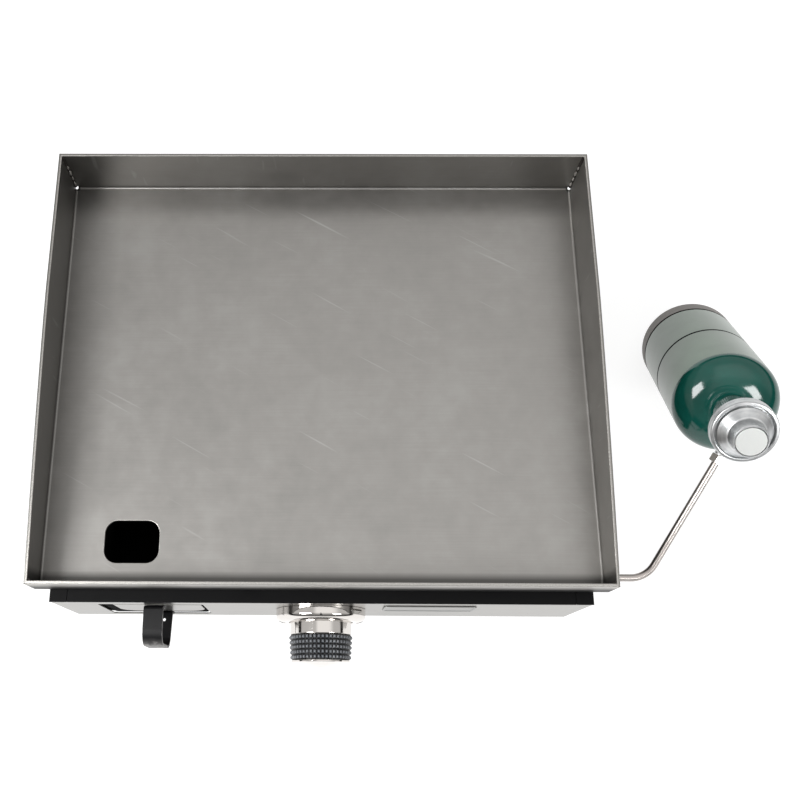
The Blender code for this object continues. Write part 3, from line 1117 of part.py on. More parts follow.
def bottle():
    dome = [(NECK_COLLAR + (BOTTLE_RADIUS - NECK_COLLAR) * math.sin(math.radians(angle)),
             BOTTLE_SHOULDER + BOTTLE_DOME * math.cos(math.radians(angle))) for angle in (0, 20, 40, 60, 75, 90)]
    dome_top = BOTTLE_SHOULDER + BOTTLE_DOME
    tucked = BOTTLE_RADIUS - FOOT_RING_WALL - GAP
    curve_end = tucked - BASE_CURVE_WIDTH
    wall = BOTTLE_WALL
    outer = [(NECK_RADIUS, NECK_TOP), (NECK_RADIUS, dome_top + NECK_STEP), (NECK_COLLAR, dome_top + NECK_STEP)]
    outer += dome
    outer += [(BOTTLE_RADIUS, FOOT_RING_HEIGHT + GAP), (tucked, FOOT_RING_HEIGHT + GAP),
              (tucked, BASE_CURVE_HEIGHT), (curve_end, BASE_CURVE_END), (0, BASE_HEIGHT)]
    inner = [(0, BASE_HEIGHT + wall), (curve_end - wall, BASE_CURVE_END + wall), (tucked - wall, BASE_CURVE_HEIGHT),
             (tucked - wall, FOOT_RING_HEIGHT), (BOTTLE_RADIUS - wall, FOOT_RING_HEIGHT + 2 * wall)]
    inner += [(radius - wall, height - wall * 0.8) for radius, height in dome[:0:-1]]
    inner += [(CORE_HOLE_RADIUS, dome_top - wall), (CORE_HOLE_RADIUS, NECK_TOP)]
    shell = turned("bottle_shell", inner + outer, BOTTLE_FOOT, BOTTLE_AXIS,
                   material("green enamel", "2c6b57", 0.15, 0.0), 40)
    ring_in = BOTTLE_RADIUS - FOOT_RING_WALL
    lip_in = ring_in - FOOT_RING_LIP
    ring = turned("bottle_foot_ring",
                  [(BOTTLE_RADIUS, FOOT_RING_HEIGHT), (BOTTLE_RADIUS, FOOT_RING_EDGE),
                   (BOTTLE_RADIUS - FOOT_RING_EDGE, 0), (lip_in, 0), (lip_in, FOOT_RING_LIP_THICKNESS),
                   (ring_in, FOOT_RING_LIP_THICKNESS + FOOT_RING_FILLET), (ring_in, FOOT_RING_HEIGHT)],
                  BOTTLE_FOOT, BOTTLE_AXIS, material("grey-brown plastic", "8a8583", 0.4, 0.0), 40, ring=True)
    core_top = NECK_TOP - CORE_RECESS
    core_radius = CORE_HOLE_RADIUS - GAP
    core = turned("bottle_valve_core",
                  [(0, core_top), (core_radius, core_top), (core_radius, dome_top),
                   (CORE_TIP_RADIUS, dome_top - CORE_TIP_DEPTH), (0, dome_top - CORE_TIP_DEPTH)],
                  BOTTLE_FOOT, BOTTLE_AXIS, yellow_metal(), 20)
    carry("bottle_removal", BOTTLE_FOOT, shell, ring, core)


def main():
    for old in list(bpy.data.objects):
        bpy.data.objects.remove(old)
    griddle()
    base()
    feet()
    front_panel()
    tray()
    knob()
    valve()
    igniter()
    burner()
    gas_line()
    bottle()


main()
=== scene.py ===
import json
import math

import bmesh
import bpy
from mathutils import Matrix, Vector

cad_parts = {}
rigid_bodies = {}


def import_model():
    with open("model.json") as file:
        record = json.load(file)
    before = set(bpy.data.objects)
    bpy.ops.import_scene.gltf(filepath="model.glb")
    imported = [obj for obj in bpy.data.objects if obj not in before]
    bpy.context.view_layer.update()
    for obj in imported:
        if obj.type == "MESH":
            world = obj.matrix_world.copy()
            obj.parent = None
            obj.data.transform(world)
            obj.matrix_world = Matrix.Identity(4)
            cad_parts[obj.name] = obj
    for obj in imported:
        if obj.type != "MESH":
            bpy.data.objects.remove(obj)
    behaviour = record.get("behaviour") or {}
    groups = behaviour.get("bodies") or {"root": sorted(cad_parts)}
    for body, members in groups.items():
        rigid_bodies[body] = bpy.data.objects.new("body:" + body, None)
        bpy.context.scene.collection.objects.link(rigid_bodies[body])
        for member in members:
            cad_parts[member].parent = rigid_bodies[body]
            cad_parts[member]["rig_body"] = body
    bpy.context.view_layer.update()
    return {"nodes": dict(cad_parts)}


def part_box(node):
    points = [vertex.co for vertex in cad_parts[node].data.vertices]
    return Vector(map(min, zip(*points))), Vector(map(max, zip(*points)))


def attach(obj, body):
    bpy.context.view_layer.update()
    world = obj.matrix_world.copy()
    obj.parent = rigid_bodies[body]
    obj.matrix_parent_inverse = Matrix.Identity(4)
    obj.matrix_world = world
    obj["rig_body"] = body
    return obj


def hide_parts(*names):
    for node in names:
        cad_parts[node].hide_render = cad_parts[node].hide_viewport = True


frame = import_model()

MM = 0.001


# Camera
# The griddle was photographed from above and a little in front, so the plate shows its whole floor and the
# knob is seen almost from on top. The picture is a cut-out whose middle lies right of the lens's axis.

LENS = 43.57            # mm
SENSOR = 36.0           # mm
FRAMING_SHIFT = 0.110   # of the sensor's width
LOOKING_DOWN = 1.25396  # radians below level
TURNED_RIGHT = -0.030606  # radians, so it looks a little to the left
TILTED = -0.025484      # radians
EYE = Vector((-0.35, -283.74, 793.64)) * MM


def stand(name, data):
    """Puts new data into the scene as an object."""
    made = bpy.data.objects.new(name, data)
    bpy.context.scene.collection.objects.link(made)
    return made


camera_data = bpy.data.cameras.new("overhead_lens")
camera_data.lens = LENS
camera_data.sensor_width = SENSOR
camera_data.shift_x = FRAMING_SHIFT
camera_data.clip_start = 0.02
camera = stand("overhead_camera", camera_data)
ahead = Vector((math.sin(TURNED_RIGHT) * math.cos(LOOKING_DOWN),
                math.cos(TURNED_RIGHT) * math.cos(LOOKING_DOWN), -math.sin(LOOKING_DOWN)))
level = Vector((math.cos(TURNED_RIGHT), -math.sin(TURNED_RIGHT), 0))
lifted = level.cross(ahead)
across = level * math.cos(TILTED) + lifted * math.sin(TILTED)
upward = lifted * math.cos(TILTED) - level * math.sin(TILTED)
turn = Matrix((across, upward, -ahead)).transposed()
camera.matrix_world = Matrix.Translation(EYE) @ turn.to_4x4()
bpy.context.scene.camera = camera


# Base sides, rear panel and front rail
# Folded from 1.2 mm steel sheet, spot-welded together where their flanges meet, and powder coated black.
# The legs are cut out of the two sides, and the griddle plate rests on the sides' top flanges.

def linear(code):
    """A colour written as sRGB hex, as the linear values a shader takes."""
    parts = [int(code[i:i + 2], 16) / 255 for i in (0, 2, 4)]
    return tuple([p / 12.92 if p <= 0.04045 else ((p + 0.055) / 1.055) ** 2.4 for p in parts] + [1.0])


def per(size):
    """Pattern scale, in turns per metre, for a pattern of that size in mm."""
    return 1.0 / (size * MM)


def add(tree, kind, inputs=None, stops=None, **settings):
    """Adds a node with its settings, and links or sets its inputs."""
    made = tree.nodes.new(kind)
    for name, value in settings.items():
        setattr(made, name, value)
    for key, value in (inputs or {}).items():
        if isinstance(value, bpy.types.NodeSocket):
            tree.links.new(value, made.inputs[key])
        else:
            made.inputs[key].default_value = value
    if stops:
        ramp = made.color_ramp
        while len(ramp.elements) < len(stops):
            ramp.elements.new(0.5)
        for element, (position, colour) in zip(ramp.elements, stops):
            element.position, element.color = position, colour
    return made


def begin(name, colour, roughness, metallic=0.0, **sockets):
    """A new material with its shader's uniform values set; returns it with its node tree and shader."""
    made = bpy.data.materials.new(name)
    made.use_nodes = True
    shader = made.node_tree.nodes["Principled BSDF"]
    shader.inputs["Base Color"].default_value = linear(colour)
    shader.inputs["Roughness"].default_value = roughness
    shader.inputs["Metallic"].default_value = metallic
    for key, value in sockets.items():
        shader.inputs[key.replace("_", " ")].default_value = value
    return made, made.node_tree, shader


def join(shader, **made):
    """Links what nodes or sockets give to the shader's inputs of those names."""
    for key, source in made.items():
        socket = source if isinstance(source, bpy.types.NodeSocket) else source.outputs[0]
        shader.id_data.links.new(socket, shader.inputs[key.replace("_", " ")])


def place(name, data, finish, body, slot, *nodes, bevel=0.0, angle=30.0, frame_matrix=None):
    """Puts a mesh in as a piece that rides on a body, with broken edges and smooth shading."""
    piece = stand(name, data)
    if frame_matrix is not None:
        piece.matrix_world = frame_matrix
    if not data.materials:
        data.materials.append(finish)
    data.shade_smooth()
    if bevel:
        edge = piece.modifiers.new("broken_edges", 'BEVEL')
        edge.width = bevel
        edge.segments = 2
        edge.limit_method = 'ANGLE'
        edge.angle_limit = math.radians(angle)
    else:
        data.set_sharp_from_angle(angle=math.radians(angle))
    even = piece.modifiers.new("even_shading", 'WEIGHTED_NORMAL')
    even.keep_sharp = True
    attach(piece, body)
    if nodes:
        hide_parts(*nodes)
    return piece


WELD = 1e-6  # metres: points nearer to each other than this become one


def as_mesh(bm, name, outward=True):
    """Mesh data of a finished bmesh, with its faces turned outward where that is asked for."""
    if outward:
        bmesh.ops.recalc_face_normals(bm, faces=bm.faces)
    data = bpy.data.meshes.new(name)
    bm.to_mesh(data)
    bm.free()
    return data


def dress(node, finish, slot, bevel=0.0, angle=30.0):
    """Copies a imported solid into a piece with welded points, whole flat faces and broken edges."""
    source = frame["nodes"][node]
    bm = bmesh.new()
    bm.from_mesh(source.data)
    bmesh.ops.remove_doubles(bm, verts=bm.verts, dist=WELD)
    bmesh.ops.dissolve_limit(bm, angle_limit=math.radians(0.4), verts=bm.verts, edges=bm.edges)
    data = as_mesh(bm, "finished_" + node, outward=False)
    return place("finished_" + node, data, finish, source["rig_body"], slot, node, bevel=bevel, angle=angle)


# Black powder coat, sprayed and baked: a soft satin black with a faint orange peel.
# Real orange peel is 1 to 2 mm across, which is drawn at 2.2 mm so that it shows.
powder_coat, tree, shader = begin("baked black powder coat", "050506", 0.5, IOR=1.5, Specular_IOR_Level=0.13)
place_in = add(tree, "ShaderNodeTexCoord").outputs["Object"]
peel = add(tree, "ShaderNodeTexNoise", {"Vector": place_in, "Scale": per(2.2), "Detail": 2.0})
dull = add(tree, "ShaderNodeTexNoise", {"Vector": place_in, "Scale": per(45), "Detail": 4.0})
spread = add(tree, "ShaderNodeMapRange", {"Value": dull.outputs["Fac"], "From Min": 0.35, "From Max": 0.65,
                                          "To Min": 0.42, "To Max": 0.58})
raised = add(tree, "ShaderNodeBump", {"Height": peel.outputs["Fac"], "Strength": 0.10, "Distance": 0.15 * MM})
join(shader, Roughness=spread, Normal=raised)

for node in ("left_side_panel", "right_side_panel", "rear_panel", "front_rail"):
    dress(node, powder_coat, "black_coat", bevel=0.35 * MM)


# Heat shield
# A tray of 0.8 mm aluminised steel under the burner, with slots for air. It keeps the table cool.

# Aluminised steel, hot dipped: a dull light grey metal with soft cloudy patches about 12 mm across.
aluminised, tree, shader = begin("hot-dipped aluminised steel", "a9a8a4", 0.42, 1.0)
place_in = add(tree, "ShaderNodeTexCoord").outputs["Object"]
cloud = add(tree, "ShaderNodeTexNoise", {"Vector": place_in, "Scale": per(12), "Detail": 3.0})
tone = add(tree, "ShaderNodeValToRGB", {"Fac": cloud.outputs["Fac"]},
           stops=[(0.3, linear("97958f")), (0.7, linear("b4b3b0"))])
spread = add(tree, "ShaderNodeMapRange", {"Value": cloud.outputs["Fac"], "To Min": 0.34, "To Max": 0.52})
join(shader, Base_Color=tone, Roughness=spread)

dress("heat_shield", aluminised, "aluminised_steel", bevel=0.2 * MM)


# Rubber feet
# Four moulded rubber feet, each pushed through a hole in its leg and held by a barb.

ON_AXIS = 1e-6  # mm: a point of an outline nearer than this lies on the axis


def lathe(name, outline, steps=96, ring=False):
    """Mesh of a (radius, height) outline in mm turned round local z. A ring's outline is closed."""
    bm = bmesh.new()
    rows = []
    for radius, height in outline:
        if radius < ON_AXIS:
            rows.append([bm.verts.new((0, 0, height * MM))])
        else:
            rows.append([bm.verts.new((radius * MM * math.cos(2 * math.pi * i / steps),
                                       radius * MM * math.sin(2 * math.pi * i / steps), height * MM))
                         for i in range(steps)])
    pairs = list(zip(rows, rows[1:] + rows[:1])) if ring else list(zip(rows, rows[1:]))
    for low, high in pairs:
        for i in range(steps):
            j = (i + 1) % steps
            if len(low) == 1:
                bm.faces.new((low[0], high[j], high[i]))
            elif len(high) == 1:
                bm.faces.new((low[i], low[j], high[0]))
            else:
                bm.faces.new((low[i], low[j], high[j], high[i]))
    return as_mesh(bm, name)


def facing(spot, direction):
    """Matrix that stands a turned piece at a spot in metres, its axis along a direction."""
    z = Vector(direction).normalized()
    side = Vector((1, 0, 0)) if abs(z.x) < 0.9 else Vector((0, 1, 0))
    x = (side - z * z.dot(side)).normalized()
    y = z.cross(x)
    return Matrix.Translation(spot) @ Matrix((x, y, z)).transposed().to_4x4()


# Moulded black rubber: dull and slightly dusty, with a 3 mm mottle of bloom.
foot_rubber, tree, shader = begin("moulded black rubber", "1b1b1c", 0.75, IOR=1.52, Specular_IOR_Level=0.35)
place_in = add(tree, "ShaderNodeTexCoord").outputs["Object"]
bloom = add(tree, "ShaderNodeTexNoise", {"Vector": place_in, "Scale": per(3), "Detail": 5.0})
tone = add(tree, "ShaderNodeValToRGB", {"Fac": bloom.outputs["Fac"]},
           stops=[(0.35, linear("161617")), (0.75, linear("29292a"))])
grain = add(tree, "ShaderNodeBump", {"Height": bloom.outputs["Fac"], "Strength": 0.2, "Distance": 0.2 * MM})
join(shader, Base_Color=tone, Normal=grain)

FOOT_OUTLINE = [(0, 13.0), (2.6, 12.8), (3.4, 12.2), (5.0, 9.6), (5.0, 9.5), (3.4, 9.5), (3.4, 7.7),
                (10.4, 7.7), (11.0, 7.1), (9.6, 1.2), (8.8, 0.2), (8.2, 0.0), (6.0, 0.0), (5.4, 0.6),
                (0, 0.6)]
for lengthwise in ("front", "rear"):
    for hand in ("left", "right"):
        node = "rubber_foot_%s_%s" % (lengthwise, hand)
        low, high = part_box(node)
        spot = Vector(((low.x + high.x) / 2, (low.y + high.y) / 2, low.z))
        place("moulded_foot_%s_%s" % (lengthwise, hand), lathe(node + "_turned", FOOT_OUTLINE, 40),
              foot_rubber, "base", "foot_rubber", node, frame_matrix=facing(spot, (0, 0, 1)))


# Front panel and nameplate
# The panel is 1 mm stainless sheet with a window for the grease tray. The nameplate is a plain pressed plate
# with a raised rim, fixed beside the knob.

# Brushed stainless: grey metal whose brush marks run along the panel. Real marks are about 0.1 mm wide,
# drawn 0.5 mm wide and 40 mm long so that they show.
brushed, tree, shader = begin("brushed stainless sheet", "918f8b", 0.3, 1.0)
place_in = add(tree, "ShaderNodeTexCoord").outputs["Object"]
along_x = add(tree, "ShaderNodeMapping", {"Vector": place_in, "Scale": (per(40), per(0.5), per(0.5))})
marks = add(tree, "ShaderNodeTexNoise", {"Vector": along_x.outputs["Vector"], "Scale": 1.0, "Detail": 3.0})
tone = add(tree, "ShaderNodeValToRGB", {"Fac": marks.outputs["Fac"]},
           stops=[(0.3, linear("888682")), (0.7, linear("9b9995"))])
spread = add(tree, "ShaderNodeMapRange", {"Value": marks.outputs["Fac"], "To Min": 0.22, "To Max": 0.4})
grooves = add(tree, "ShaderNodeBump", {"Height": marks.outputs["Fac"], "Strength": 0.15,
                                       "Distance": 0.05 * MM})
join(shader, Base_Color=tone, Roughness=spread, Normal=grooves)

dress("front_panel", brushed, "stainless", bevel=0.2 * MM)

# Satin anodised aluminium plate: an even mid grey, with a blasted grain drawn 0.8 mm across.
satin_plate, tree, shader = begin("satin anodised plate", "989896", 0.4, 1.0)
place_in = add(tree, "ShaderNodeTexCoord").outputs["Object"]
blast = add(tree, "ShaderNodeTexNoise", {"Vector": place_in, "Scale": per(0.8), "Detail": 2.0})
grain = add(tree, "ShaderNodeBump", {"Height": blast.outputs["Fac"], "Strength": 0.12, "Distance": 0.05 * MM})
join(shader, Normal=grain)

dress("blank_nameplate", satin_plate, "nameplate", bevel=0.15 * MM)


# Grease tray
# A black steel pan slides in through the panel's window on two rails. Its stainless front plate carries a
# strip of steel bent into a loop as the handle, riveted top and bottom.

dress("tray_rail_left", aluminised, "aluminised_steel", bevel=0.2 * MM)
dress("tray_rail_right", aluminised, "aluminised_steel", bevel=0.2 * MM)

# The pan's coat is a flat black with hardly any gleam, in cloudy patches 8 mm across.
dull_coat, tree, shader = begin("dull black tray coat", "060606", 0.9, IOR=1.5, Specular_IOR_Level=0.05)
place_in = add(tree, "ShaderNodeTexCoord").outputs["Object"]
cloud = add(tree, "ShaderNodeTexNoise", {"Vector": place_in, "Scale": per(8), "Detail": 3.0})
tone = add(tree, "ShaderNodeValToRGB", {"Fac": cloud.outputs["Fac"]},
           stops=[(0.3, linear("050505")), (0.7, linear("0c0c0c"))])
join(shader, Base_Color=tone)
dress("tray_pan", dull_coat, "black_coat", bevel=0.25 * MM)
dress("tray_front", brushed, "stainless", bevel=0.2 * MM)

# The handle's powder coat is rubbed on its front bend: it goes from black to grey there, in 5 mm patches.
worn_coat, tree, shader = begin("rubbed black powder coat", "0b0b0d", 0.45, IOR=1.5, Specular_IOR_Level=0.3)
place_in = add(tree, "ShaderNodeTexCoord").outputs["Object"]
where = add(tree, "ShaderNodeSeparateXYZ", {"Vector": place_in})
BEND_STARTS, BEND_FRONT = -221.0, -227.5  # mm, along Y
to_front = add(tree, "ShaderNodeMapRange", {"Value": where.outputs["Y"], "From Min": BEND_STARTS * MM,
                                            "From Max": BEND_FRONT * MM})
rubs = add(tree, "ShaderNodeTexNoise", {"Vector": place_in, "Scale": per(5), "Detail": 5.0})
rubbed = add(tree, "ShaderNodeMath", {0: to_front.outputs["Result"], 1: rubs.outputs["Fac"]},
             operation='MULTIPLY')
tone = add(tree, "ShaderNodeValToRGB", {"Fac": rubbed.outputs["Value"]},
           stops=[(0.1, linear("0b0b0d")), (0.35, linear("302f2f")), (0.6, linear("777573"))])
grain = add(tree, "ShaderNodeBump", {"Height": rubs.outputs["Fac"], "Strength": 0.1, "Distance": 0.15 * MM})
join(shader, Base_Color=tone, Normal=grain)
handle = dress("tray_handle", worn_coat, "black_coat", bevel=0.3 * MM)

# The handle's right-hand edge is rubbed through to grey steel, in 3 mm patches.
rubbed_edge, tree, shader = begin("steel rubbed bare", "8e8c8a", 0.4, 0.5)
place_in = add(tree, "ShaderNodeTexCoord").outputs["Object"]
where = add(tree, "ShaderNodeSeparateXYZ", {"Vector": place_in})
rubs = add(tree, "ShaderNodeTexNoise", {"Vector": place_in, "Scale": per(3), "Detail": 3.0})
low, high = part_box("tray_handle")
to_right = add(tree, "ShaderNodeMapRange", {"Value": where.outputs["X"], "From Min": high.x - 2 * MM,
                                            "From Max": high.x - 1 * MM, "To Min": 0.0, "To Max": 1.6})
rubbed = add(tree, "ShaderNodeMath", {0: to_right.outputs["Result"], 1: rubs.outputs["Fac"]},
             operation='MULTIPLY')
tone = add(tree, "ShaderNodeValToRGB", {"Fac": rubbed.outputs["Value"]},
           stops=[(0.3, linear("0b0b0d")), (0.9, linear("9a9895"))])
join(shader, Base_Color=tone)
handle.data.materials.append(rubbed_edge)
handle.modifiers["broken_edges"].material = 1

# Zinc plate on fasteners and brackets: grey with a faint warm passivate and 6 mm cloudy patches.
zinc, tree, shader = begin("bright zinc plate", "b5b3aa", 0.3, 1.0)
place_in = add(tree, "ShaderNodeTexCoord").outputs["Object"]
patch = add(tree, "ShaderNodeTexNoise", {"Vector": place_in, "Scale": per(6), "Detail": 3.0})
tone = add(tree, "ShaderNodeValToRGB", {"Fac": patch.outputs["Fac"]},
           stops=[(0.3, linear("a5a298")), (0.7, linear("c3c2bb"))])
join(shader, Base_Color=tone)

for node in ("tray_rivet_upper", "tray_rivet_lower"):
    low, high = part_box(node)
    radius, height = (high.x - low.x) / 2 / MM, (high.y - low.y) / MM
    dome = [(radius * math.sin(math.radians(a)), 0.35 * height + 0.65 * height * math.cos(math.radians(a)))
            for a in (0, 18, 36, 54, 72, 90)]
    place(node + "_domed", lathe(node, dome + [(radius, 0), (0, 0)], 32), zinc, "tray", "zinc_plate", node,
          frame_matrix=facing(Vector(((low.x + high.x) / 2, high.y, (low.z + high.z) / 2)), (0, -1, 0)))


# Valve and its bracket
# The brass valve body is screwed to a zinc-plated bracket behind the panel. Its plunger and spring close the
# gas when the knob is pushed and turned back.

# Turned brass: warm yellow metal, stained in 9 mm patches, with lathe rings. They lie 3.8 mm apart, far more
# than real ones, so that they show: the wave texture repeats after 0.314 of its 12 mm scale.
brass, tree, shader = begin("turned brass", "c8a45c", 0.28, 1.0)
place_in = add(tree, "ShaderNodeTexCoord").outputs["Object"]
stain = add(tree, "ShaderNodeTexNoise", {"Vector": place_in, "Scale": per(9), "Detail": 4.0})
tone = add(tree, "ShaderNodeValToRGB", {"Fac": stain.outputs["Fac"]},
           stops=[(0.3, linear("b8924c")), (0.7, linear("d6b46c"))])
rings = add(tree, "ShaderNodeTexWave", {"Vector": place_in, "Scale": per(12), "Distortion": 2.0},
            wave_type='BANDS', bands_direction='Y')
cut = add(tree, "ShaderNodeBump", {"Height": rings.outputs["Fac"], "Strength": 0.1, "Distance": 0.05 * MM})
join(shader, Base_Color=tone, Normal=cut)

# Spring wire: hard drawn steel, grey and slightly oily.
spring_steel, tree, shader = begin("drawn spring wire", "9a9a9c", 0.3, 1.0)
place_in = add(tree, "ShaderNodeTexCoord").outputs["Object"]
oil = add(tree, "ShaderNodeTexNoise", {"Vector": place_in, "Scale": per(2), "Detail": 2.0})
spread = add(tree, "ShaderNodeMapRange", {"Value": oil.outputs["Fac"], "To Min": 0.2, "To Max": 0.4})
join(shader, Roughness=spread)

dress("valve_bracket", zinc, "zinc_plate", bevel=0.2 * MM)
dress("valve_body", brass, "brass", bevel=0.2 * MM, angle=40)
dress("valve_plunger", brass, "brass", angle=40)
dress("valve_stem", brass, "brass", angle=40)
dress("valve_spring", spring_steel, "spring_steel", angle=50)
dress("gas_orifice", brass, "brass", angle=35)
dress("inlet_pipe", aluminised, "aluminised_steel", angle=40)


# Igniter
# A piezo unit clipped to the valve sends its spark along a silicone lead to a steel pin in a glazed ceramic,
# which a small bracket holds beside the burner's cross tube.

# Moulded black nylon with a fine matt texture of 0.7 mm.
igniter_plastic, tree, shader = begin("moulded black nylon", "232325", 0.5, IOR=1.53)
place_in = add(tree, "ShaderNodeTexCoord").outputs["Object"]
fine = add(tree, "ShaderNodeTexNoise", {"Vector": place_in, "Scale": per(0.7), "Detail": 2.0})
grain = add(tree, "ShaderNodeBump", {"Height": fine.outputs["Fac"], "Strength": 0.2, "Distance": 0.05 * MM})
join(shader, Normal=grain)

# Extruded silicone sleeve: a dull brick red that picks up dust in 4 mm patches.
lead_silicone, tree, shader = begin("extruded red silicone", "a8402f", 0.6, IOR=1.41)
place_in = add(tree, "ShaderNodeTexCoord").outputs["Object"]
dust = add(tree, "ShaderNodeTexNoise", {"Vector": place_in, "Scale": per(4), "Detail": 3.0})
tone = add(tree, "ShaderNodeValToRGB", {"Fac": dust.outputs["Fac"]},
           stops=[(0.35, linear("9c3a2a")), (0.75, linear("b85844"))])
join(shader, Base_Color=tone)

# Glazed alumina ceramic: glossy off-white with faint tan clouds about 5 mm across.
ceramic, tree, shader = begin("glazed alumina ceramic", "e9e4da", 0.18, IOR=1.76)
place_in = add(tree, "ShaderNodeTexCoord").outputs["Object"]
speck = add(tree, "ShaderNodeTexNoise", {"Vector": place_in, "Scale": per(5), "Detail": 6.0})
tone = add(tree, "ShaderNodeValToRGB", {"Fac": speck.outputs["Fac"]},
           stops=[(0.25, linear("cfc6b4")), (0.42, linear("ebe6dc"))])
join(shader, Base_Color=tone)

dress("piezo_igniter", igniter_plastic, "igniter_plastic", angle=40)
dress("igniter_lead", lead_silicone, "lead_silicone", angle=60)
dress("spark_electrode", ceramic, "ceramic", angle=40)
dress("electrode_bracket", zinc, "zinc_plate", bevel=0.15 * MM)


# Burner
# Two ported tubes joined by a cross tube, fed through a venturi with an air shutter, all pressed and rolled
# from aluminised steel and carried by two brackets on the heat shield.

for node in ("burner_tube_left", "burner_tube_right", "burner_cross_tube", "burner_venturi", "air_shutter"):
    dress(node, aluminised, "aluminised_steel", angle=40)
for node in ("burner_bracket_front", "burner_bracket_rear"):
    dress(node, aluminised, "aluminised_steel", bevel=0.2 * MM)


# Knob bezel and its screws
# A die-cast ring, polished and chrome plated, held to the panel by two cross-recessed screws in pockets. A
# small black mark at its top shows which way the knob points.

# Chrome plate over a polished casting: nearly a mirror, a little milky where it is wiped, in 8 mm clouds.
chrome, tree, shader = begin("polished chrome plate", "dad6d2", 0.06, 1.0)
place_in = add(tree, "ShaderNodeTexCoord").outputs["Object"]
wipe = add(tree, "ShaderNodeTexNoise", {"Vector": place_in, "Scale": per(8), "Detail": 3.0})
spread = add(tree, "ShaderNodeMapRange", {"Value": wipe.outputs["Fac"], "From Min": 0.3, "From Max": 0.7,
                                          "To Min": 0.04, "To Max": 0.11})
join(shader, Roughness=spread)

PANEL_FACE = -195.65
KNOB_Z = -54.0
knob_spot = Vector((0, PANEL_FACE, KNOB_Z)) * MM


def arc(centre, radius, start, end, steps):
    """Points of a quarter or less of a circle, for a turned outline, with its angles in degrees."""
    return [(centre[0] + radius * math.cos(math.radians(start + (end - start) * i / steps)),
             centre[1] + radius * math.sin(math.radians(start + (end - start) * i / steps)))
            for i in range(steps + 1)]


bezel_front = [(30.2 + 8.1 * math.cos(math.radians(a)), 6.1 + 5.3 * math.sin(math.radians(a)))
               for a in range(0, 91, 9)]
bezel = lathe("bezel_casting", [(38.3, 0.3)] + bezel_front + arc((28.5, 10.4), 1.0, 90, 180, 5)
              + [(27.5, 1.8), (6.6, 1.8), (6.6, 0.3)], 160, ring=True)
bezel_piece = place("chromed_bezel", bezel, chrome, "base", "chrome", "knob_bezel", angle=25,
                    frame_matrix=facing(knob_spot, (0, -1, 0)))


def carve(target, cutter_data, matrix):
    """Cuts one shape out of a piece for good, before its other modifiers."""
    cutter = stand("cutter", cutter_data)
    cutter.matrix_world = matrix
    others = [m.name for m in target.modifiers]
    for name in others:
        target.modifiers[name].show_viewport = False
    take = target.modifiers.new("take_out", 'BOOLEAN')
    take.operation = 'DIFFERENCE'
    take.solver = 'EXACT'
    take.object = cutter
    bpy.context.view_layer.update()
    result = bpy.data.meshes.new_from_object(target.evaluated_get(bpy.context.evaluated_depsgraph_get()))
    target.modifiers.remove(take)
    target.data = result
    for name in others:
        target.modifiers[name].show_viewport = True
    bpy.data.objects.remove(cutter)


SCREW_OFFSET = 33.2  # mm, from the knob's axis
SCREW_SEAT = 3.4     # mm, in front of the panel
RECESS_TURN = 24     # degrees
for side, node in ((-1, "bezel_screw_left"), (1, "bezel_screw_right")):
    spot = knob_spot + Vector((side * SCREW_OFFSET, -SCREW_SEAT, 0)) * MM
    pocket = lathe("pocket_" + node, [(0, 12.0), (3.2, 12.0), (3.2, 0), (0, 0)], 32)
    carve(bezel_piece, pocket, facing(spot, (0, -1, 0)))
    head = lathe(node + "_head", [(0, 1.7), (1.2, 1.7)] + arc((1.9, 0.9), 1.0, 60, 0, 4)
                 + [(2.9, 0), (1.5, 0), (1.5, -4.2), (0, -4.2)], 32)
    screw = place(node + "_plated", head, zinc, "base", "zinc_plate", node,
                  frame_matrix=facing(spot + Vector((0, -0.3, 0)) * MM, (0, -1, 0)))
    for turned_by in (0, 90):
        bm = bmesh.new()
        bmesh.ops.create_cube(bm, size=1.0)
        bmesh.ops.scale(bm, verts=bm.verts, vec=(3.2 * MM, 0.7 * MM, 1.4 * MM))
        turned = Matrix.Rotation(math.radians(turned_by + RECESS_TURN), 3, 'Z')
        bmesh.ops.rotate(bm, verts=bm.verts, matrix=turned)
        bmesh.ops.translate(bm, verts=bm.verts, vec=(0, 0, 1.6 * MM))
        carve(screw, as_mesh(bm, "recess_bar", outward=False), screw.matrix_world.copy())

# The pointer mark is a dab of black enamel on the round of the bezel, at the top.
mark_paint, tree, shader = begin("black marking enamel", "0b0b0c", 0.3, IOR=1.5)
place_in = add(tree, "ShaderNodeTexCoord").outputs["Object"]
pool = add(tree, "ShaderNodeTexNoise", {"Vector": place_in, "Scale": per(1), "Detail": 1.0})
spread = add(tree, "ShaderNodeMapRange", {"Value": pool.outputs["Fac"], "To Min": 0.25, "To Max": 0.4})
join(shader, Roughness=spread)
mark = bpy.data.meshes.new("pointer_mark")
outline = [(-1.5, 37.6, 8.2), (1.5, 37.6, 8.2), (0.0, 38.25, 6.0)]
points = [Vector((x, PANEL_FACE - h, KNOB_Z + r)) * MM for x, r, h in outline]
proud = Vector((0, -0.3, 0.95)) * 0.2 * MM
mark.from_pydata([p - proud for p in points] + [p + proud for p in points], [],
                 [(2, 1, 0), (3, 4, 5), (0, 1, 4, 3), (1, 2, 5, 4), (2, 0, 3, 5)])
place("pointer_mark", mark, mark_paint, "base", "chrome")


# Knob
# A chromed barrel, a black ring of moulded grip with five rows of small pyramids, and a domed chrome cap
# pressed into its front. The three turn together on the valve's stem.

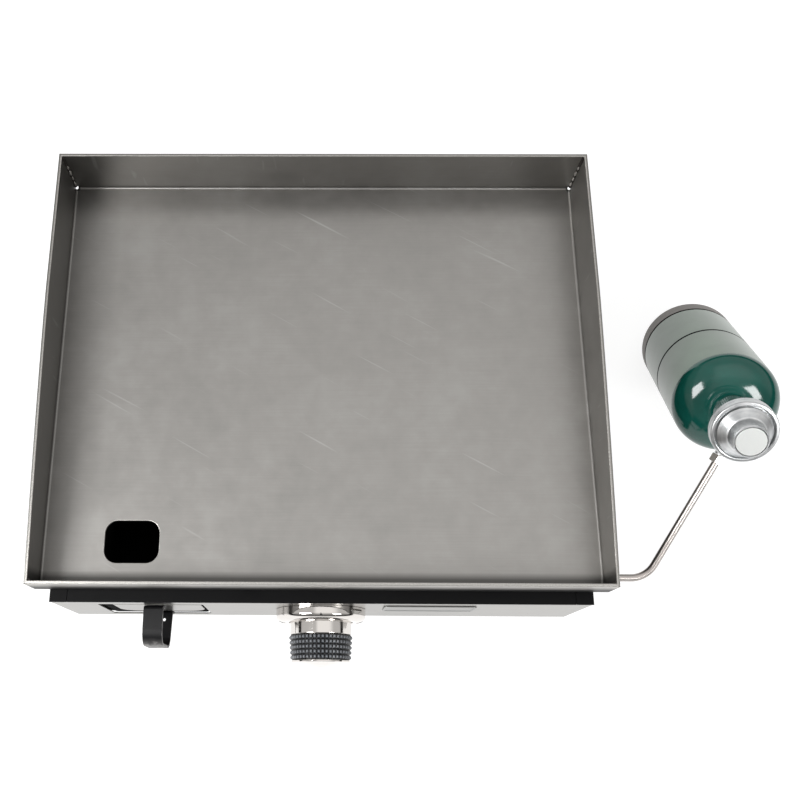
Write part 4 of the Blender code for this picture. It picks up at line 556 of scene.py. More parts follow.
barrel = lathe("barrel_turned", [(0, 41.9), (21.1, 41.9), (21.1, 21.6)] + [(25.6, 21.6)]
               + arc((25.6, 20.9), 0.7, 90, 0, 4) + [(26.3, 6.9)] + arc((25.8, 6.9), 0.5, 0, -90, 3)
               + [(3.3, 6.4), (3.3, 36.5), (0, 36.5)], 160)
knob_frame = facing(knob_spot, (0, -1, 0))
place("chromed_barrel", barrel, chrome, "knob", "chrome", "knob_barrel", frame_matrix=knob_frame)

# Moulded hard plastic, charcoal: semi-gloss pyramids. The valleys between them are drawn nearly black as
# painted shade and their tops light grey as painted highlight, by their distance from the knob's axis.
GRIP_TAPER = 0.069
grip_plastic, tree, shader = begin("moulded charcoal grip", "3c3f43", 0.34, IOR=1.5)
place_in = add(tree, "ShaderNodeTexCoord").outputs["Object"]
mottle = add(tree, "ShaderNodeTexNoise", {"Vector": place_in, "Scale": per(1.5), "Detail": 3.0})
spread = add(tree, "ShaderNodeMapRange", {"Value": mottle.outputs["Fac"], "To Min": 0.28, "To Max": 0.44})
parts = add(tree, "ShaderNodeSeparateXYZ", {"Vector": place_in})
flat_way = add(tree, "ShaderNodeCombineXYZ", {"X": parts.outputs["X"], "Y": parts.outputs["Y"]})
reach = add(tree, "ShaderNodeVectorMath", {0: flat_way.outputs["Vector"]}, operation='LENGTH')
slimmer = add(tree, "ShaderNodeMath", {0: parts.outputs["Z"], 1: GRIP_TAPER, 2: reach.outputs["Value"]},
              operation='MULTIPLY_ADD')
painted_shade_and_highlight = add(tree, "ShaderNodeMapRange", {"Value": slimmer.outputs["Value"], "From Min": 27.1 * MM,
                                             "From Max": 28.4 * MM})
tone = add(tree, "ShaderNodeValToRGB", {"Fac": painted_shade_and_highlight.outputs["Result"]},
           stops=[(0.0, linear("020202")), (0.5, linear("1a1c1f")), (1.0, linear("66696e"))])
join(shader, Roughness=spread, Base_Color=tone)

ROWS, AROUND = 5, 48
GRIP_LOW, GRIP_HIGH = 21.9, 42.2
GRIP_LOW_RADIUS, GRIP_HIGH_RADIUS, GRIP_BORE = 27.1, 25.7, 21.4
VALLEY = 1.5
HALF_TOP = 0.14  # of the pitch
bm = bmesh.new()
pitch = (GRIP_HIGH - GRIP_LOW) / ROWS


def grip_radius(height):
    """Radius over the pyramids' tops at a height."""
    fall = (GRIP_HIGH_RADIUS - GRIP_LOW_RADIUS) * (height - GRIP_LOW)
    return GRIP_LOW_RADIUS + fall / (GRIP_HIGH - GRIP_LOW)


def grip_point(radius, angle, height):
    """A new point of the grip, at a radius, an angle and a height."""
    return bm.verts.new((radius * MM * math.cos(angle), radius * MM * math.sin(angle), height * MM))


step = 2 * math.pi / AROUND
grid = [[grip_point(grip_radius(GRIP_LOW + pitch * row) - VALLEY, step * i, GRIP_LOW + pitch * row)
         for i in range(AROUND)] for row in range(ROWS + 1)]
for row in range(ROWS):
    for i in range(AROUND):
        j = (i + 1) % AROUND
        middle = GRIP_LOW + pitch * (row + 0.5)
        top = [grip_point(grip_radius(middle), step * (i + 0.5 + dx), middle + dz * pitch)
               for dx, dz in ((-HALF_TOP, -HALF_TOP), (HALF_TOP, -HALF_TOP), (HALF_TOP, HALF_TOP),
                              (-HALF_TOP, HALF_TOP))]
        foot = [grid[row][i], grid[row][j], grid[row + 1][j], grid[row + 1][i]]
        bm.faces.new(top)
        for k in range(4):
            bm.faces.new((foot[k], foot[(k + 1) % 4], top[(k + 1) % 4], top[k]))
bores = []
for row, height in ((0, GRIP_LOW), (ROWS, GRIP_HIGH)):
    bore = [grip_point(GRIP_BORE, step * i, height) for i in range(AROUND)]
    bores.append(bore)
    for i in range(AROUND):
        j = (i + 1) % AROUND
        bm.faces.new((grid[row][i], grid[row][j], bore[j], bore[i]))
for i in range(AROUND):
    j = (i + 1) % AROUND
    bm.faces.new((bores[0][i], bores[0][j], bores[1][j], bores[1][i]))
grip = as_mesh(bm, "grip_pyramids")
place("moulded_grip", grip, grip_plastic, "knob", "grip_plastic", "knob_grip", bevel=0.18 * MM, angle=14,
      frame_matrix=knob_frame)

cap_outline = [(25.0 * s / 20, 48.3 - 4.1 * (s / 20) ** 1.2) for s in range(20)]
cap_outline += [(24.8, 44.25), (25.0, 44.0), (25.0, 43.0)] + arc((24.5, 43.0), 0.5, 0, -90, 3) + [(0, 42.5)]
place("chromed_cap", lathe("cap_dome", cap_outline, 128), chrome, "knob", "chrome", "knob_cap",
      frame_matrix=knob_frame)


# Gas line
# A steel tube, bent once and plated, runs from a brass socket in the side panel to the regulator. A hexagon
# nut holds it at each end.

LINE_Y, LINE_Z = -167.15, -54.0
SOCKET = Vector((211.7, LINE_Y, LINE_Z)) * MM
CORNER = Vector((281.7, LINE_Y, LINE_Z)) * MM
AIM = Vector((351.55, -46.15, 10.05)) * MM
toward = (CORNER - AIM).normalized()
TUBE_STOP, NUT_STOP, BOSS_STOP = 31.7, 31.4, 18.0  # mm short of AIM
TUBE_END = AIM + toward * TUBE_STOP * MM
TUBE_BEND, TUBE_RADIUS = 22 * MM, 3.2 * MM


def bend(start, corner, end, radius, steps):
    """Points along a straight run, one bend of a given radius and a second straight run."""
    first, second = (start - corner).normalized(), (end - corner).normalized()
    half = first.angle(second) / 2
    reach = radius / math.tan(half)
    centre = corner + (first + second).normalized() * (radius / math.sin(half))
    enter, leave = corner + first * reach, corner + second * reach
    a, b = enter - centre, leave - centre
    sweep = a.angle(b)
    arcs = [centre + a * (math.sin((1 - t) * sweep) / math.sin(sweep))
            + b * (math.sin(t * sweep) / math.sin(sweep))
            for t in [i / steps for i in range(steps + 1)]]
    return [start] + arcs + [end]


def sweep_tube(name, points, radius, sides=32):
    """Mesh of a round bar along points, with closed ends."""
    bm = bmesh.new()
    ahead_now = (points[1] - points[0]).normalized()
    side = ahead_now.orthogonal().normalized()
    rows = []
    for i, point in enumerate(points):
        before = (point - points[i - 1]).normalized() if i else ahead_now
        after = (points[i + 1] - point).normalized() if i < len(points) - 1 else before
        way = (before + after).normalized()
        side = (side - way * side.dot(way)).normalized()
        other = way.cross(side)
        rows.append([bm.verts.new(point + (side * math.cos(2 * math.pi * k / sides)
                                           + other * math.sin(2 * math.pi * k / sides)) * radius)
                     for k in range(sides)])
    for low, high in zip(rows, rows[1:]):
        for k in range(sides):
            bm.faces.new((low[k], low[(k + 1) % sides], high[(k + 1) % sides], high[k]))
    bm.faces.new(list(reversed(rows[0])))
    bm.faces.new(rows[-1])
    return as_mesh(bm, name)


# Dull nickel plate on the drawn tube: it blurs what it mirrors, more or less so in clouds 12 mm across.
tube_plate, tree, shader = begin("dull nickel plate", "bcb6b2", 0.3, 1.0)
place_in = add(tree, "ShaderNodeTexCoord").outputs["Object"]
drawn = add(tree, "ShaderNodeTexNoise", {"Vector": place_in, "Scale": per(12), "Detail": 3.0})
spread = add(tree, "ShaderNodeMapRange", {"Value": drawn.outputs["Fac"], "To Min": 0.26, "To Max": 0.36})
join(shader, Roughness=spread)

tube_points = bend(SOCKET, CORNER, TUBE_END, TUBE_BEND, 20)
place("plated_gas_tube", sweep_tube("bent_tube", tube_points, TUBE_RADIUS), tube_plate, "gas_line", "chrome",
      "gas_tube")


def hexagon(name, across_corners, length, bore, steps=72):
    """Mesh of a hexagon nut with chamfered ends, its axis along local z from 0 to its length, in mm."""
    flat = across_corners * math.cos(math.radians(30))
    end_circle = flat * 0.97
    slope = math.tan(math.radians(30))
    bm = bmesh.new()
    rows = [[], [], [], [], [], []]
    for i in range(steps):
        angle = 2 * math.pi * i / steps
        within = (math.degrees(angle) % 60) - 30
        radius = flat / math.cos(math.radians(within))
        drop = max(0.15, (radius - end_circle) * slope)
        for row, (r, h) in enumerate(((bore, 0), (end_circle, 0), (radius, drop), (radius, length - drop),
                                      (end_circle, length), (bore, length))):
            rows[row].append(bm.verts.new((r * MM * math.cos(angle), r * MM * math.sin(angle), h * MM)))
    for low, high in zip(rows, rows[1:] + rows[:1]):
        for i in range(steps):
            j = (i + 1) % steps
            bm.faces.new((low[i], low[j], high[j], high[i]))
    return as_mesh(bm, name)


dress("inlet_socket", brass, "brass", angle=35)
dress("tube_plug", brass, "brass", angle=35)
low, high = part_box("coupling_nut")
nut_spot = Vector((low.x, LINE_Y * MM, LINE_Z * MM))
place("coupling_nut_turned", hexagon("coupling_hexagon", 10.6, 15.0, 3.7), brass, "coupling_nut", "brass",
      "coupling_nut", angle=20, frame_matrix=facing(nut_spot, (1, 0, 0)))
place("outlet_nut_chromed", hexagon("outlet_hexagon", 6.6, 7.0, 3.5), chrome, "gas_line", "chrome",
      "outlet_nut", angle=20, frame_matrix=facing(AIM + toward * NUT_STOP * MM, toward))


# Regulator
# A die-cast and turned aluminium body with a rubber diaphragm, closed by a spun cover that a crimped ring
# holds. A knurled inlet collar screws on to the bottle, and a flat cap closes the boss over the spring.

BOTTLE_AXIS = Vector((-0.13489, -0.63731, 0.75872)).normalized()
REGULATOR = Vector((349.75, -47.35, 14.0)) * MM
regulator_frame = facing(REGULATOR, BOTTLE_AXIS)

# Turned aluminium: bright grey with rings left by the tool, drawn about 0.9 mm apart so that they show, and
# a mottle of light handling marks about 7 mm across.
aluminium, tree, shader = begin("turned aluminium", "d4d6d7", 0.34, 1.0)
place_in = add(tree, "ShaderNodeTexCoord").outputs["Object"]
parts = add(tree, "ShaderNodeSeparateXYZ", {"Vector": place_in})
flat_way = add(tree, "ShaderNodeCombineXYZ", {"X": parts.outputs["X"], "Y": parts.outputs["Y"]})
reach = add(tree, "ShaderNodeVectorMath", {0: flat_way.outputs["Vector"]}, operation='LENGTH')
ring_place = add(tree, "ShaderNodeCombineXYZ", {"X": reach.outputs["Value"], "Y": parts.outputs["Z"]})
ring_marks = add(tree, "ShaderNodeTexNoise", {"Vector": ring_place.outputs["Vector"], "Scale": per(0.9),
                                             "Detail": 3.0})
marks = add(tree, "ShaderNodeTexNoise", {"Vector": place_in, "Scale": per(7), "Detail": 5.0})
both = add(tree, "ShaderNodeMix", {"Factor": 0.45, "A": marks.outputs["Fac"], "B": ring_marks.outputs["Fac"]})
tone = add(tree, "ShaderNodeValToRGB", {"Fac": both.outputs["Result"]},
           stops=[(0.32, linear("b9bcbe")), (0.68, linear("e4e5e5"))])
spread = add(tree, "ShaderNodeMapRange", {"Value": marks.outputs["Fac"], "To Min": 0.25, "To Max": 0.45})
grooves = add(tree, "ShaderNodeBump", {"Height": ring_marks.outputs["Fac"], "Strength": 0.22,
                                       "Distance": 0.06 * MM})
join(shader, Base_Color=tone, Roughness=spread, Normal=grooves)

body_outline = [(19.8, 12.6), (24.8, 12.6), (24.8, 9.6), (23.1, 5.2), (21.3, 1.6), (21.0, 1.0), (19.4, -0.6),
                (17.4, -1.7), (17.0, -2.2), (17.0, -4.0), (3.0, -4.0), (3.0, 7.0), (19.8, 7.0)]
place("turned_regulator_body", lathe("body_casting", body_outline, 128, ring=True), aluminium, "gas_line",
      "cast_metal", "regulator_body", bevel=0.3 * MM, frame_matrix=regulator_frame)
place("outlet_boss", lathe("boss_cylinder", [(0, 0), (5.0, 0), (5.0, 13.1), (0, 13.1)], 48), aluminium,
      "gas_line", "cast_metal", bevel=0.4 * MM, frame_matrix=facing(AIM + toward * BOSS_STOP * MM, toward))

cover_outline = [(12.8, 38.3), (13.6, 38.3), (14.2, 37.7), (14.8, 26.6), (15.3, 25.9), (16.4, 25.3),
                 (21.4, 20.5), (22.1, 19.8), (22.2, 19.2), (22.2, 16.2), (24.8, 16.2), (24.8, 14.2),
                 (19.8, 14.2), (19.8, 18.6), (12.8, 24.7)]
place("spun_cover", lathe("cover_spun", cover_outline, 144, ring=True), aluminium, "gas_line", "cast_metal",
      "regulator_cover", angle=25, frame_matrix=regulator_frame)
crimp_outline = [(27.0, 18.4)] + arc((25.6, 18.4), 1.4, 0, 90, 5) + [(24.4, 19.9)]
crimp_outline += arc((24.4, 18.9), 0.9, 90, 180, 4)
crimp_outline += [(23.3, 16.5), (25.1, 16.5), (25.1, 9.6), (26.4, 9.6), (27.0, 10.2), (27.0, 13.0),
                  (26.7, 13.4), (26.7, 13.8), (27.0, 14.2)]
place("crimped_ring", lathe("crimp_rolled", crimp_outline, 144, ring=True), aluminium, "gas_line",
      "cast_metal", "crimp_ring", angle=25, frame_matrix=regulator_frame)

# The cap's face is faced off and lightly blasted: a flat pale disc.
faced, tree, shader = begin("faced aluminium disc", "dcdedc", 0.55, 1.0)
place_in = add(tree, "ShaderNodeTexCoord").outputs["Object"]
blast = add(tree, "ShaderNodeTexNoise", {"Vector": place_in, "Scale": per(0.7), "Detail": 2.0})
grain = add(tree, "ShaderNodeBump", {"Height": blast.outputs["Fac"], "Strength": 0.1, "Distance": 0.05 * MM})
join(shader, Normal=grain)
disc = lathe("cap_disc", [(0, 38.7), (11.9, 38.7), (12.3, 38.3), (12.3, 36.3), (0, 36.3)], 96)
place("faced_cap", disc, faced, "gas_line", "turned_aluminium", "regulator_cap",
      frame_matrix=regulator_frame)

# The collar's grip is cut with 60 flutes.
FLUTES, FLUTE_DEPTH = 60, 0.028  # the depth is a share of the radius
collar = lathe("collar_turned", [(15.5, -4.3), (16.5, -5.3), (16.5, -20.9), (15.5, -21.9), (12.7, -21.9),
                                 (12.7, -7.9), (3.0, -7.9), (3.0, -4.3)], 240, ring=True)
for vertex in collar.vertices:
    radius = math.hypot(vertex.co.x, vertex.co.y)
    if radius > 16.4 * MM:
        around = math.atan2(vertex.co.y, vertex.co.x)
        pull = 1 - FLUTE_DEPTH * (0.5 + 0.5 * math.cos(FLUTES * around))
        vertex.co.x *= pull
        vertex.co.y *= pull
place("fluted_collar", collar, aluminium, "gas_line", "cast_metal", "inlet_collar", angle=40,
      frame_matrix=regulator_frame)

# Nitrile seal and diaphragm: the same dull black as the feet.
dress("diaphragm", foot_rubber, "seal_rubber", angle=40)
dress("inlet_seal", foot_rubber, "seal_rubber", angle=40)
dress("regulator_spring", spring_steel, "spring_steel", angle=50)


# Gas bottle
# A drawn steel shell, enamelled green, with a painted sleeve round its straight part. It screws into the
# regulator's collar and stands on a moulded plastic foot ring.

FOOT_BELOW = 203.9  # mm, from the regulator to the bottle's foot
BOTTLE_FOOT = REGULATOR - BOTTLE_AXIS * FOOT_BELOW * MM
bottle_frame = facing(BOTTLE_FOOT, BOTTLE_AXIS)

# Baked green enamel: deep and glossy, with a faint ripple 9 mm across and a tone that drifts over 30 mm.
green_enamel, tree, shader = begin("baked green enamel", "0c463d", 0.12, IOR=1.5, Coat_Weight=0.15,
                                   Coat_Roughness=0.05)
place_in = add(tree, "ShaderNodeTexCoord").outputs["Object"]
ripple = add(tree, "ShaderNodeTexNoise", {"Vector": place_in, "Scale": per(9), "Detail": 2.0})
depth = add(tree, "ShaderNodeTexNoise", {"Vector": place_in, "Scale": per(30), "Detail": 4.0})
tone = add(tree, "ShaderNodeValToRGB", {"Fac": depth.outputs["Fac"]},
           stops=[(0.3, linear("083d35")), (0.7, linear("0e4d44"))])
skin = add(tree, "ShaderNodeBump", {"Height": ripple.outputs["Fac"], "Strength": 0.12, "Distance": 0.6 * MM})
join(shader, Base_Color=tone, Normal=skin)

# Painted sleeve: sage green under a satin varnish, hazed in 35 mm clouds.
sleeve_paint, tree, shader = begin("varnished sage paint", "526a57", 0.32, IOR=1.5, Coat_Weight=0.4,
                                   Coat_Roughness=0.22)
place_in = add(tree, "ShaderNodeTexCoord").outputs["Object"]
haze = add(tree, "ShaderNodeTexNoise", {"Vector": place_in, "Scale": per(35), "Detail": 4.0})
tone = add(tree, "ShaderNodeValToRGB", {"Fac": haze.outputs["Fac"]},
           stops=[(0.3, linear("4b6350")), (0.7, linear("5a725f"))])
join(shader, Base_Color=tone)

# Two lines printed round the sleeve, 3.2 mm wide, in a flat black ink that is uneven over 2 mm.
line_ink, tree, shader = begin("flat black line ink", "0a0c0b", 0.8, IOR=1.5, Specular_IOR_Level=0.05)
place_in = add(tree, "ShaderNodeTexCoord").outputs["Object"]
flow = add(tree, "ShaderNodeTexNoise", {"Vector": place_in, "Scale": per(2), "Detail": 2.0})
spread = add(tree, "ShaderNodeMapRange", {"Value": flow.outputs["Fac"], "To Min": 0.7, "To Max": 0.9})
join(shader, Roughness=spread)

dome = [(15 + 30.3 * math.sin(math.radians(a)), 155.2 + 22.0 * math.cos(math.radians(a)))
        for a in range(0, 91, 6)]
LINES = ((86.3, 89.5), (18.1, 21.3))  # each line's lower and upper edge, in mm above the foot
SLEEVE_TOP = 154.4
SHELL_RADIUS = 45.3
ENAMEL, SLEEVE, INK = range(3)
shell_outline = [(12.2, 194.0), (12.2, 179.2), (14.6, 179.2), (15.0, 178.8)] + dome + [(SHELL_RADIUS, 152.0)]
shell_outline += [(SHELL_RADIUS, height) for line in LINES for height in reversed(line)]
shell_outline += [(43.9, 18.1), (43.9, 13.0), (42.6, 10.0), (37.9, 6.0), (0, 3.0)]
shell = lathe("shell_drawn", [(0, 174.0), (7.4, 174.0), (7.4, 194.0)] + shell_outline, 160)
for finish in (green_enamel, sleeve_paint, line_ink):
    shell.materials.append(finish)
for face in shell.polygons:
    up = face.center.z / MM
    if any(lower < up < upper for lower, upper in LINES):
        face.material_index = INK
    else:
        face.material_index = SLEEVE if up < SLEEVE_TOP else ENAMEL
place("enamelled_shell", shell, green_enamel, "bottle", "bottle_enamel", "bottle_shell", angle=35,
      frame_matrix=bottle_frame)

# Moulded taupe plastic with a fine 0.8 mm texture.
ring_plastic, tree, shader = begin("moulded taupe plastic", "7c7773", 0.5, IOR=1.5)
place_in = add(tree, "ShaderNodeTexCoord").outputs["Object"]
fine = add(tree, "ShaderNodeTexNoise", {"Vector": place_in, "Scale": per(0.8), "Detail": 2.0})
grain = add(tree, "ShaderNodeBump", {"Height": fine.outputs["Fac"], "Strength": 0.2, "Distance": 0.05 * MM})
join(shader, Normal=grain)
ring_outline = [(45.3, 17.4), (45.0, 17.8), (44.2, 17.8), (44.2, 2.0), (43.4, 1.2), (39.2, 1.2), (39.2, 0.0),
                (43.9, 0.0), (44.9, 0.4), (45.3, 1.4)]
place("moulded_foot_ring", lathe("ring_moulded", ring_outline, 128, ring=True), ring_plastic, "bottle",
      "ring_plastic", "bottle_foot_ring", angle=35, frame_matrix=bottle_frame)
dress("bottle_valve_core", brass, "brass", angle=40)


# Griddle plate
# One blank of 2.7 mm cold-rolled steel, folded up on four sides and welded at the corners. It is bare metal:
# ground bright on its cut edges, with a rounded hole for grease. Four studs under it drop into the base.

HALF_WIDTH, HALF_DEPTH, GAUGE = 231.75, 186.45, 2.7
BEND = 5.0
REAR_WALL, FRONT_WALL, TAPER, POWER = 53.4, 35.0, 246.5, 1.35
inner_x, inner_y = HALF_WIDTH - GAUGE, HALF_DEPTH - GAUGE


def block(name, low, high, radius=0.0, chosen=None, segments=8):
    """Mesh of a box in mm, with the chosen edges rounded."""
    bm = bmesh.new()
    bmesh.ops.create_cube(bm, size=1.0)
    for vertex in bm.verts:
        vertex.co = Vector([(low[i] if vertex.co[i] < 0 else high[i]) * MM for i in range(3)])
    if radius:
        edges = [e for e in bm.edges if chosen(*[v.co.copy() for v in e.verts])]
        bmesh.ops.bevel(bm, geom=edges, offset=radius * MM, segments=segments, profile=0.5, affect='EDGES')
    return as_mesh(bm, name)


def at_foot(a, b):
    """Whether an edge lies round a box's floor."""
    return a.z < 3 * MM and b.z < 3 * MM


def standing(a, b):
    """Whether an edge is upright."""
    return abs(a.x - b.x) < WELD and abs(a.y - b.y) < WELD


# Cold-rolled steel, as rolled and wiped with oil: a mid grey sheen with soft blotches 75 mm and 14 mm across,
# rolling lines along its width, drawn 1.2 mm wide so that they show, and long light scratches on the slant.
mill_steel, tree, shader = begin("cold-rolled carbon steel", "9e9c99", 0.4, 1.0)
place_in = add(tree, "ShaderNodeTexCoord").outputs["Object"]
blotch = add(tree, "ShaderNodeTexNoise", {"Vector": place_in, "Scale": per(75), "Detail": 5.0,
                                          "Roughness": 0.6})
cloud = add(tree, "ShaderNodeTexNoise", {"Vector": place_in, "Scale": per(14), "Detail": 4.0})
rolled = add(tree, "ShaderNodeMapping", {"Vector": place_in, "Scale": (per(60), per(1.2), per(1.2))})
lines = add(tree, "ShaderNodeTexNoise", {"Vector": rolled.outputs["Vector"], "Scale": 1.0, "Detail": 3.0})
slant = add(tree, "ShaderNodeMapping", {"Vector": place_in, "Rotation": (0, 0, math.radians(30))})
slant = add(tree, "ShaderNodeMapping", {"Vector": slant.outputs["Vector"],
                                        "Scale": (per(110), per(4), per(40))})
strokes = add(tree, "ShaderNodeTexNoise", {"Vector": slant.outputs["Vector"], "Scale": 1.0, "Detail": 1.0})
scratch = add(tree, "ShaderNodeMapRange", {"Value": strokes.outputs["Fac"], "From Min": 0.70,
                                           "From Max": 0.80})
mixed = add(tree, "ShaderNodeMix", {"Factor": 0.35, "A": blotch.outputs["Fac"], "B": cloud.outputs["Fac"]})
mixed = add(tree, "ShaderNodeMix", {"Factor": 0.18, "A": mixed.outputs["Result"], "B": lines.outputs["Fac"]})
tone = add(tree, "ShaderNodeValToRGB", {"Fac": mixed.outputs["Result"]},
           stops=[(0.30, linear("949390")), (0.5, linear("9d9b98")), (0.70, linear("a6a5a2"))])
lit = add(tree, "ShaderNodeMix", {"Factor": scratch.outputs["Result"], "A": tone.outputs["Color"],
                                  "B": linear("b2b1af")}, data_type='RGBA')
spread = add(tree, "ShaderNodeMapRange", {"Value": mixed.outputs["Result"], "From Min": 0.3, "From Max": 0.7,
                                          "To Min": 0.34, "To Max": 0.46})
rough = add(tree, "ShaderNodeBump", {"Height": lines.outputs["Fac"], "Strength": 0.10, "Distance": 0.08 * MM})

# The photograph is darker on the left wall and 45 mm into the floor, on the rear wall and 35 mm of floor, on
# the front wall's inner side and 12 mm of floor, and round each relief hole. Along the walls it is painted
# shade
# and reflection: the walls shade the floor beside them and the floor mirrors the dark walls. Why isn't
# known, so it may be shadow or reflection there. Here it is painted, to follow the picture's tones, and
# shows from every side.
parts = add(tree, "ShaderNodeSeparateXYZ", {"Vector": place_in})
painted_shade_left_wall = add(tree, "ShaderNodeMapRange", {"Value": parts.outputs["X"], "From Min": -229.2 * MM,
                                             "From Max": -184.0 * MM, "To Min": 0.66, "To Max": 1.0})
painted_shade_rear_wall = add(tree, "ShaderNodeMapRange", {"Value": parts.outputs["Y"], "From Min": 148 * MM,
                                             "From Max": 168 * MM, "To Min": 1.0, "To Max": 0.8},
                interpolation_type='SMOOTHSTEP')
painted_shade_front_wall = add(tree, "ShaderNodeMapRange", {"Value": parts.outputs["Y"], "From Min": -177 * MM,
                                              "From Max": -171 * MM, "To Min": 0.3, "To Max": 1.0})
either_side = add(tree, "ShaderNodeMath", {0: parts.outputs["X"]}, operation='ABSOLUTE')
folded_place = add(tree, "ShaderNodeCombineXYZ", {"X": either_side.outputs["Value"], "Y": parts.outputs["Y"],
                                                  "Z": parts.outputs["Z"]})
away = add(tree, "ShaderNodeVectorMath", {0: folded_place.outputs["Vector"],
                                          1: (inner_x * MM, inner_y * MM, 0)},
           operation='DISTANCE')
hole_dark = add(tree, "ShaderNodeMapRange", {"Value": away.outputs["Value"], "From Min": 2.8 * MM,
                                             "From Max": 4.6 * MM, "To Min": 0.12, "To Max": 1.0})
shade = painted_shade_left_wall
for other in (hole_dark, painted_shade_rear_wall, painted_shade_front_wall):
    shade = add(tree, "ShaderNodeMath", {0: shade.outputs[0], 1: other.outputs["Result"]},
                operation='MULTIPLY')
floor_with_painted_shade = add(tree, "ShaderNodeMix", {"Factor": shade.outputs["Value"], "A": linear("000000"),
                                     "B": lit.outputs["Result"]}, data_type='RGBA')
join(shader, Base_Color=floor_with_painted_shade.outputs["Result"], Roughness=spread, Normal=rough)

# Ground steel on the cut edges and the welds: brighter than the floor, with a grain 1 mm across.
ground_steel, tree, shader = begin("ground steel edge", "aaa8a4", 0.4, 1.0)
place_in = add(tree, "ShaderNodeTexCoord").outputs["Object"]
grit = add(tree, "ShaderNodeTexNoise", {"Vector": place_in, "Scale": per(1.0), "Detail": 3.0})
tone = add(tree, "ShaderNodeValToRGB", {"Fac": grit.outputs["Fac"]},
           stops=[(0.3, linear("9f9d99")), (0.7, linear("b6b4b0"))])
marks = add(tree, "ShaderNodeBump", {"Height": grit.outputs["Fac"], "Strength": 0.15, "Distance": 0.08 * MM})

# On the sides and the rear the rim's outer half is darker in the photograph, and is painted darker here.
parts = add(tree, "ShaderNodeSeparateXYZ", {"Vector": place_in})
either_side = add(tree, "ShaderNodeMath", {0: parts.outputs["X"]}, operation='ABSOLUTE')
past_side = add(tree, "ShaderNodeMath", {0: either_side.outputs["Value"], 1: (HALF_WIDTH - GAUGE / 2) * MM},
                operation='SUBTRACT')
past_rear = add(tree, "ShaderNodeMath", {0: parts.outputs["Y"], 1: (HALF_DEPTH - GAUGE / 2) * MM},
                operation='SUBTRACT')
outside = add(tree, "ShaderNodeMath", {0: past_side.outputs["Value"], 1: past_rear.outputs["Value"]},
              operation='MAXIMUM')
outer_dark = add(tree, "ShaderNodeMapRange", {"Value": outside.outputs["Value"], "From Min": -0.3 * MM,
                                              "From Max": 0.3 * MM, "To Min": 1.0, "To Max": 0.5})
edged = add(tree, "ShaderNodeMix", {"Factor": outer_dark.outputs["Result"], "A": linear("000000"),
                                    "B": tone.outputs["Color"]}, data_type='RGBA')
join(shader, Base_Color=edged.outputs["Result"], Normal=marks)

# The outside faces are paler and duller than the floor, with 20 mm clouds.
mill_skin, tree, shader = begin("dull mill finish steel", "c4c2be", 0.5, 0.75)
place_in = add(tree, "ShaderNodeTexCoord").outputs["Object"]
cloud = add(tree, "ShaderNodeTexNoise", {"Vector": place_in, "Scale": per(20), "Detail": 3.0})
tone = add(tree, "ShaderNodeValToRGB", {"Fac": cloud.outputs["Fac"]},
           stops=[(0.3, linear("bab8b4")), (0.7, linear("cecbc7"))])

# The front face is nearly black in the photograph up to 13 mm above the cooking surface and pale from 33 mm
# up. Why isn't known. It is painted so here, on the front only: a painted reflection of the black ledge
# below it.
parts = add(tree, "ShaderNodeSeparateXYZ", {"Vector": place_in})
painted_ledge_reflection = add(tree, "ShaderNodeMapRange", {"Value": parts.outputs["Z"], "From Min": 13 * MM,
                                              "From Max": 33 * MM, "To Min": 0.03, "To Max": 0.9})
not_front = add(tree, "ShaderNodeMapRange", {"Value": parts.outputs["Y"], "From Min": -186 * MM,
                                             "From Max": -185 * MM})
clear = add(tree, "ShaderNodeMath", {0: painted_ledge_reflection.outputs["Result"], 1: not_front.outputs["Result"]},
            operation='MAXIMUM')
face_with_painted_reflection = add(tree, "ShaderNodeMix", {"Factor": clear.outputs["Value"], "A": linear("000000"),
                                     "B": tone.outputs["Color"]}, data_type='RGBA')
join(shader, Base_Color=face_with_painted_reflection.outputs["Result"])

ROUGH_TOP = 64.0  # mm, before the walls are cut to their outline
OVER_TOP = 70.0
PAST = 2.0        # mm, how far a cutter runs past what it cuts
EDGE_STEEL, OUTSIDE_STEEL = 1, 2
plate_data = block("plate_folded", (-HALF_WIDTH, -HALF_DEPTH, -GAUGE), (HALF_WIDTH, HALF_DEPTH, ROUGH_TOP),
                   BEND, at_foot)
for finish in (mill_steel, ground_steel, mill_skin):
    plate_data.materials.append(finish)
plate = stand("folded_plate", plate_data)
hollow = block("hollow", (-inner_x, -inner_y, 0), (inner_x, inner_y, ROUGH_TOP + PAST), BEND - GAUGE, at_foot)
carve(plate, hollow, Matrix.Identity(4))

over = bmesh.new()
RIM_STEPS = 24
rim = [(HALF_DEPTH + PAST, REAR_WALL), (TAPER - HALF_DEPTH, REAR_WALL)]
for i in range(1, RIM_STEPS + 1):
    share = i / RIM_STEPS
    rim.append((TAPER - HALF_DEPTH - TAPER * share, REAR_WALL - (REAR_WALL - FRONT_WALL) * share ** POWER))
rim += [(-HALF_DEPTH - PAST, FRONT_WALL), (-HALF_DEPTH - PAST, OVER_TOP), (HALF_DEPTH + PAST, OVER_TOP)]
near, far = [[over.verts.new((x * MM, y * MM, z * MM)) for y, z in rim]
             for x in (-HALF_WIDTH - PAST, HALF_WIDTH + PAST)]
over.faces.new(near)
over.faces.new(list(reversed(far)))
for i in range(len(rim)):
    j = (i + 1) % len(rim)
    over.faces.new((near[j], near[i], far[i], far[j]))
carve(plate, as_mesh(over, "over_rim"), Matrix.Identity(4))

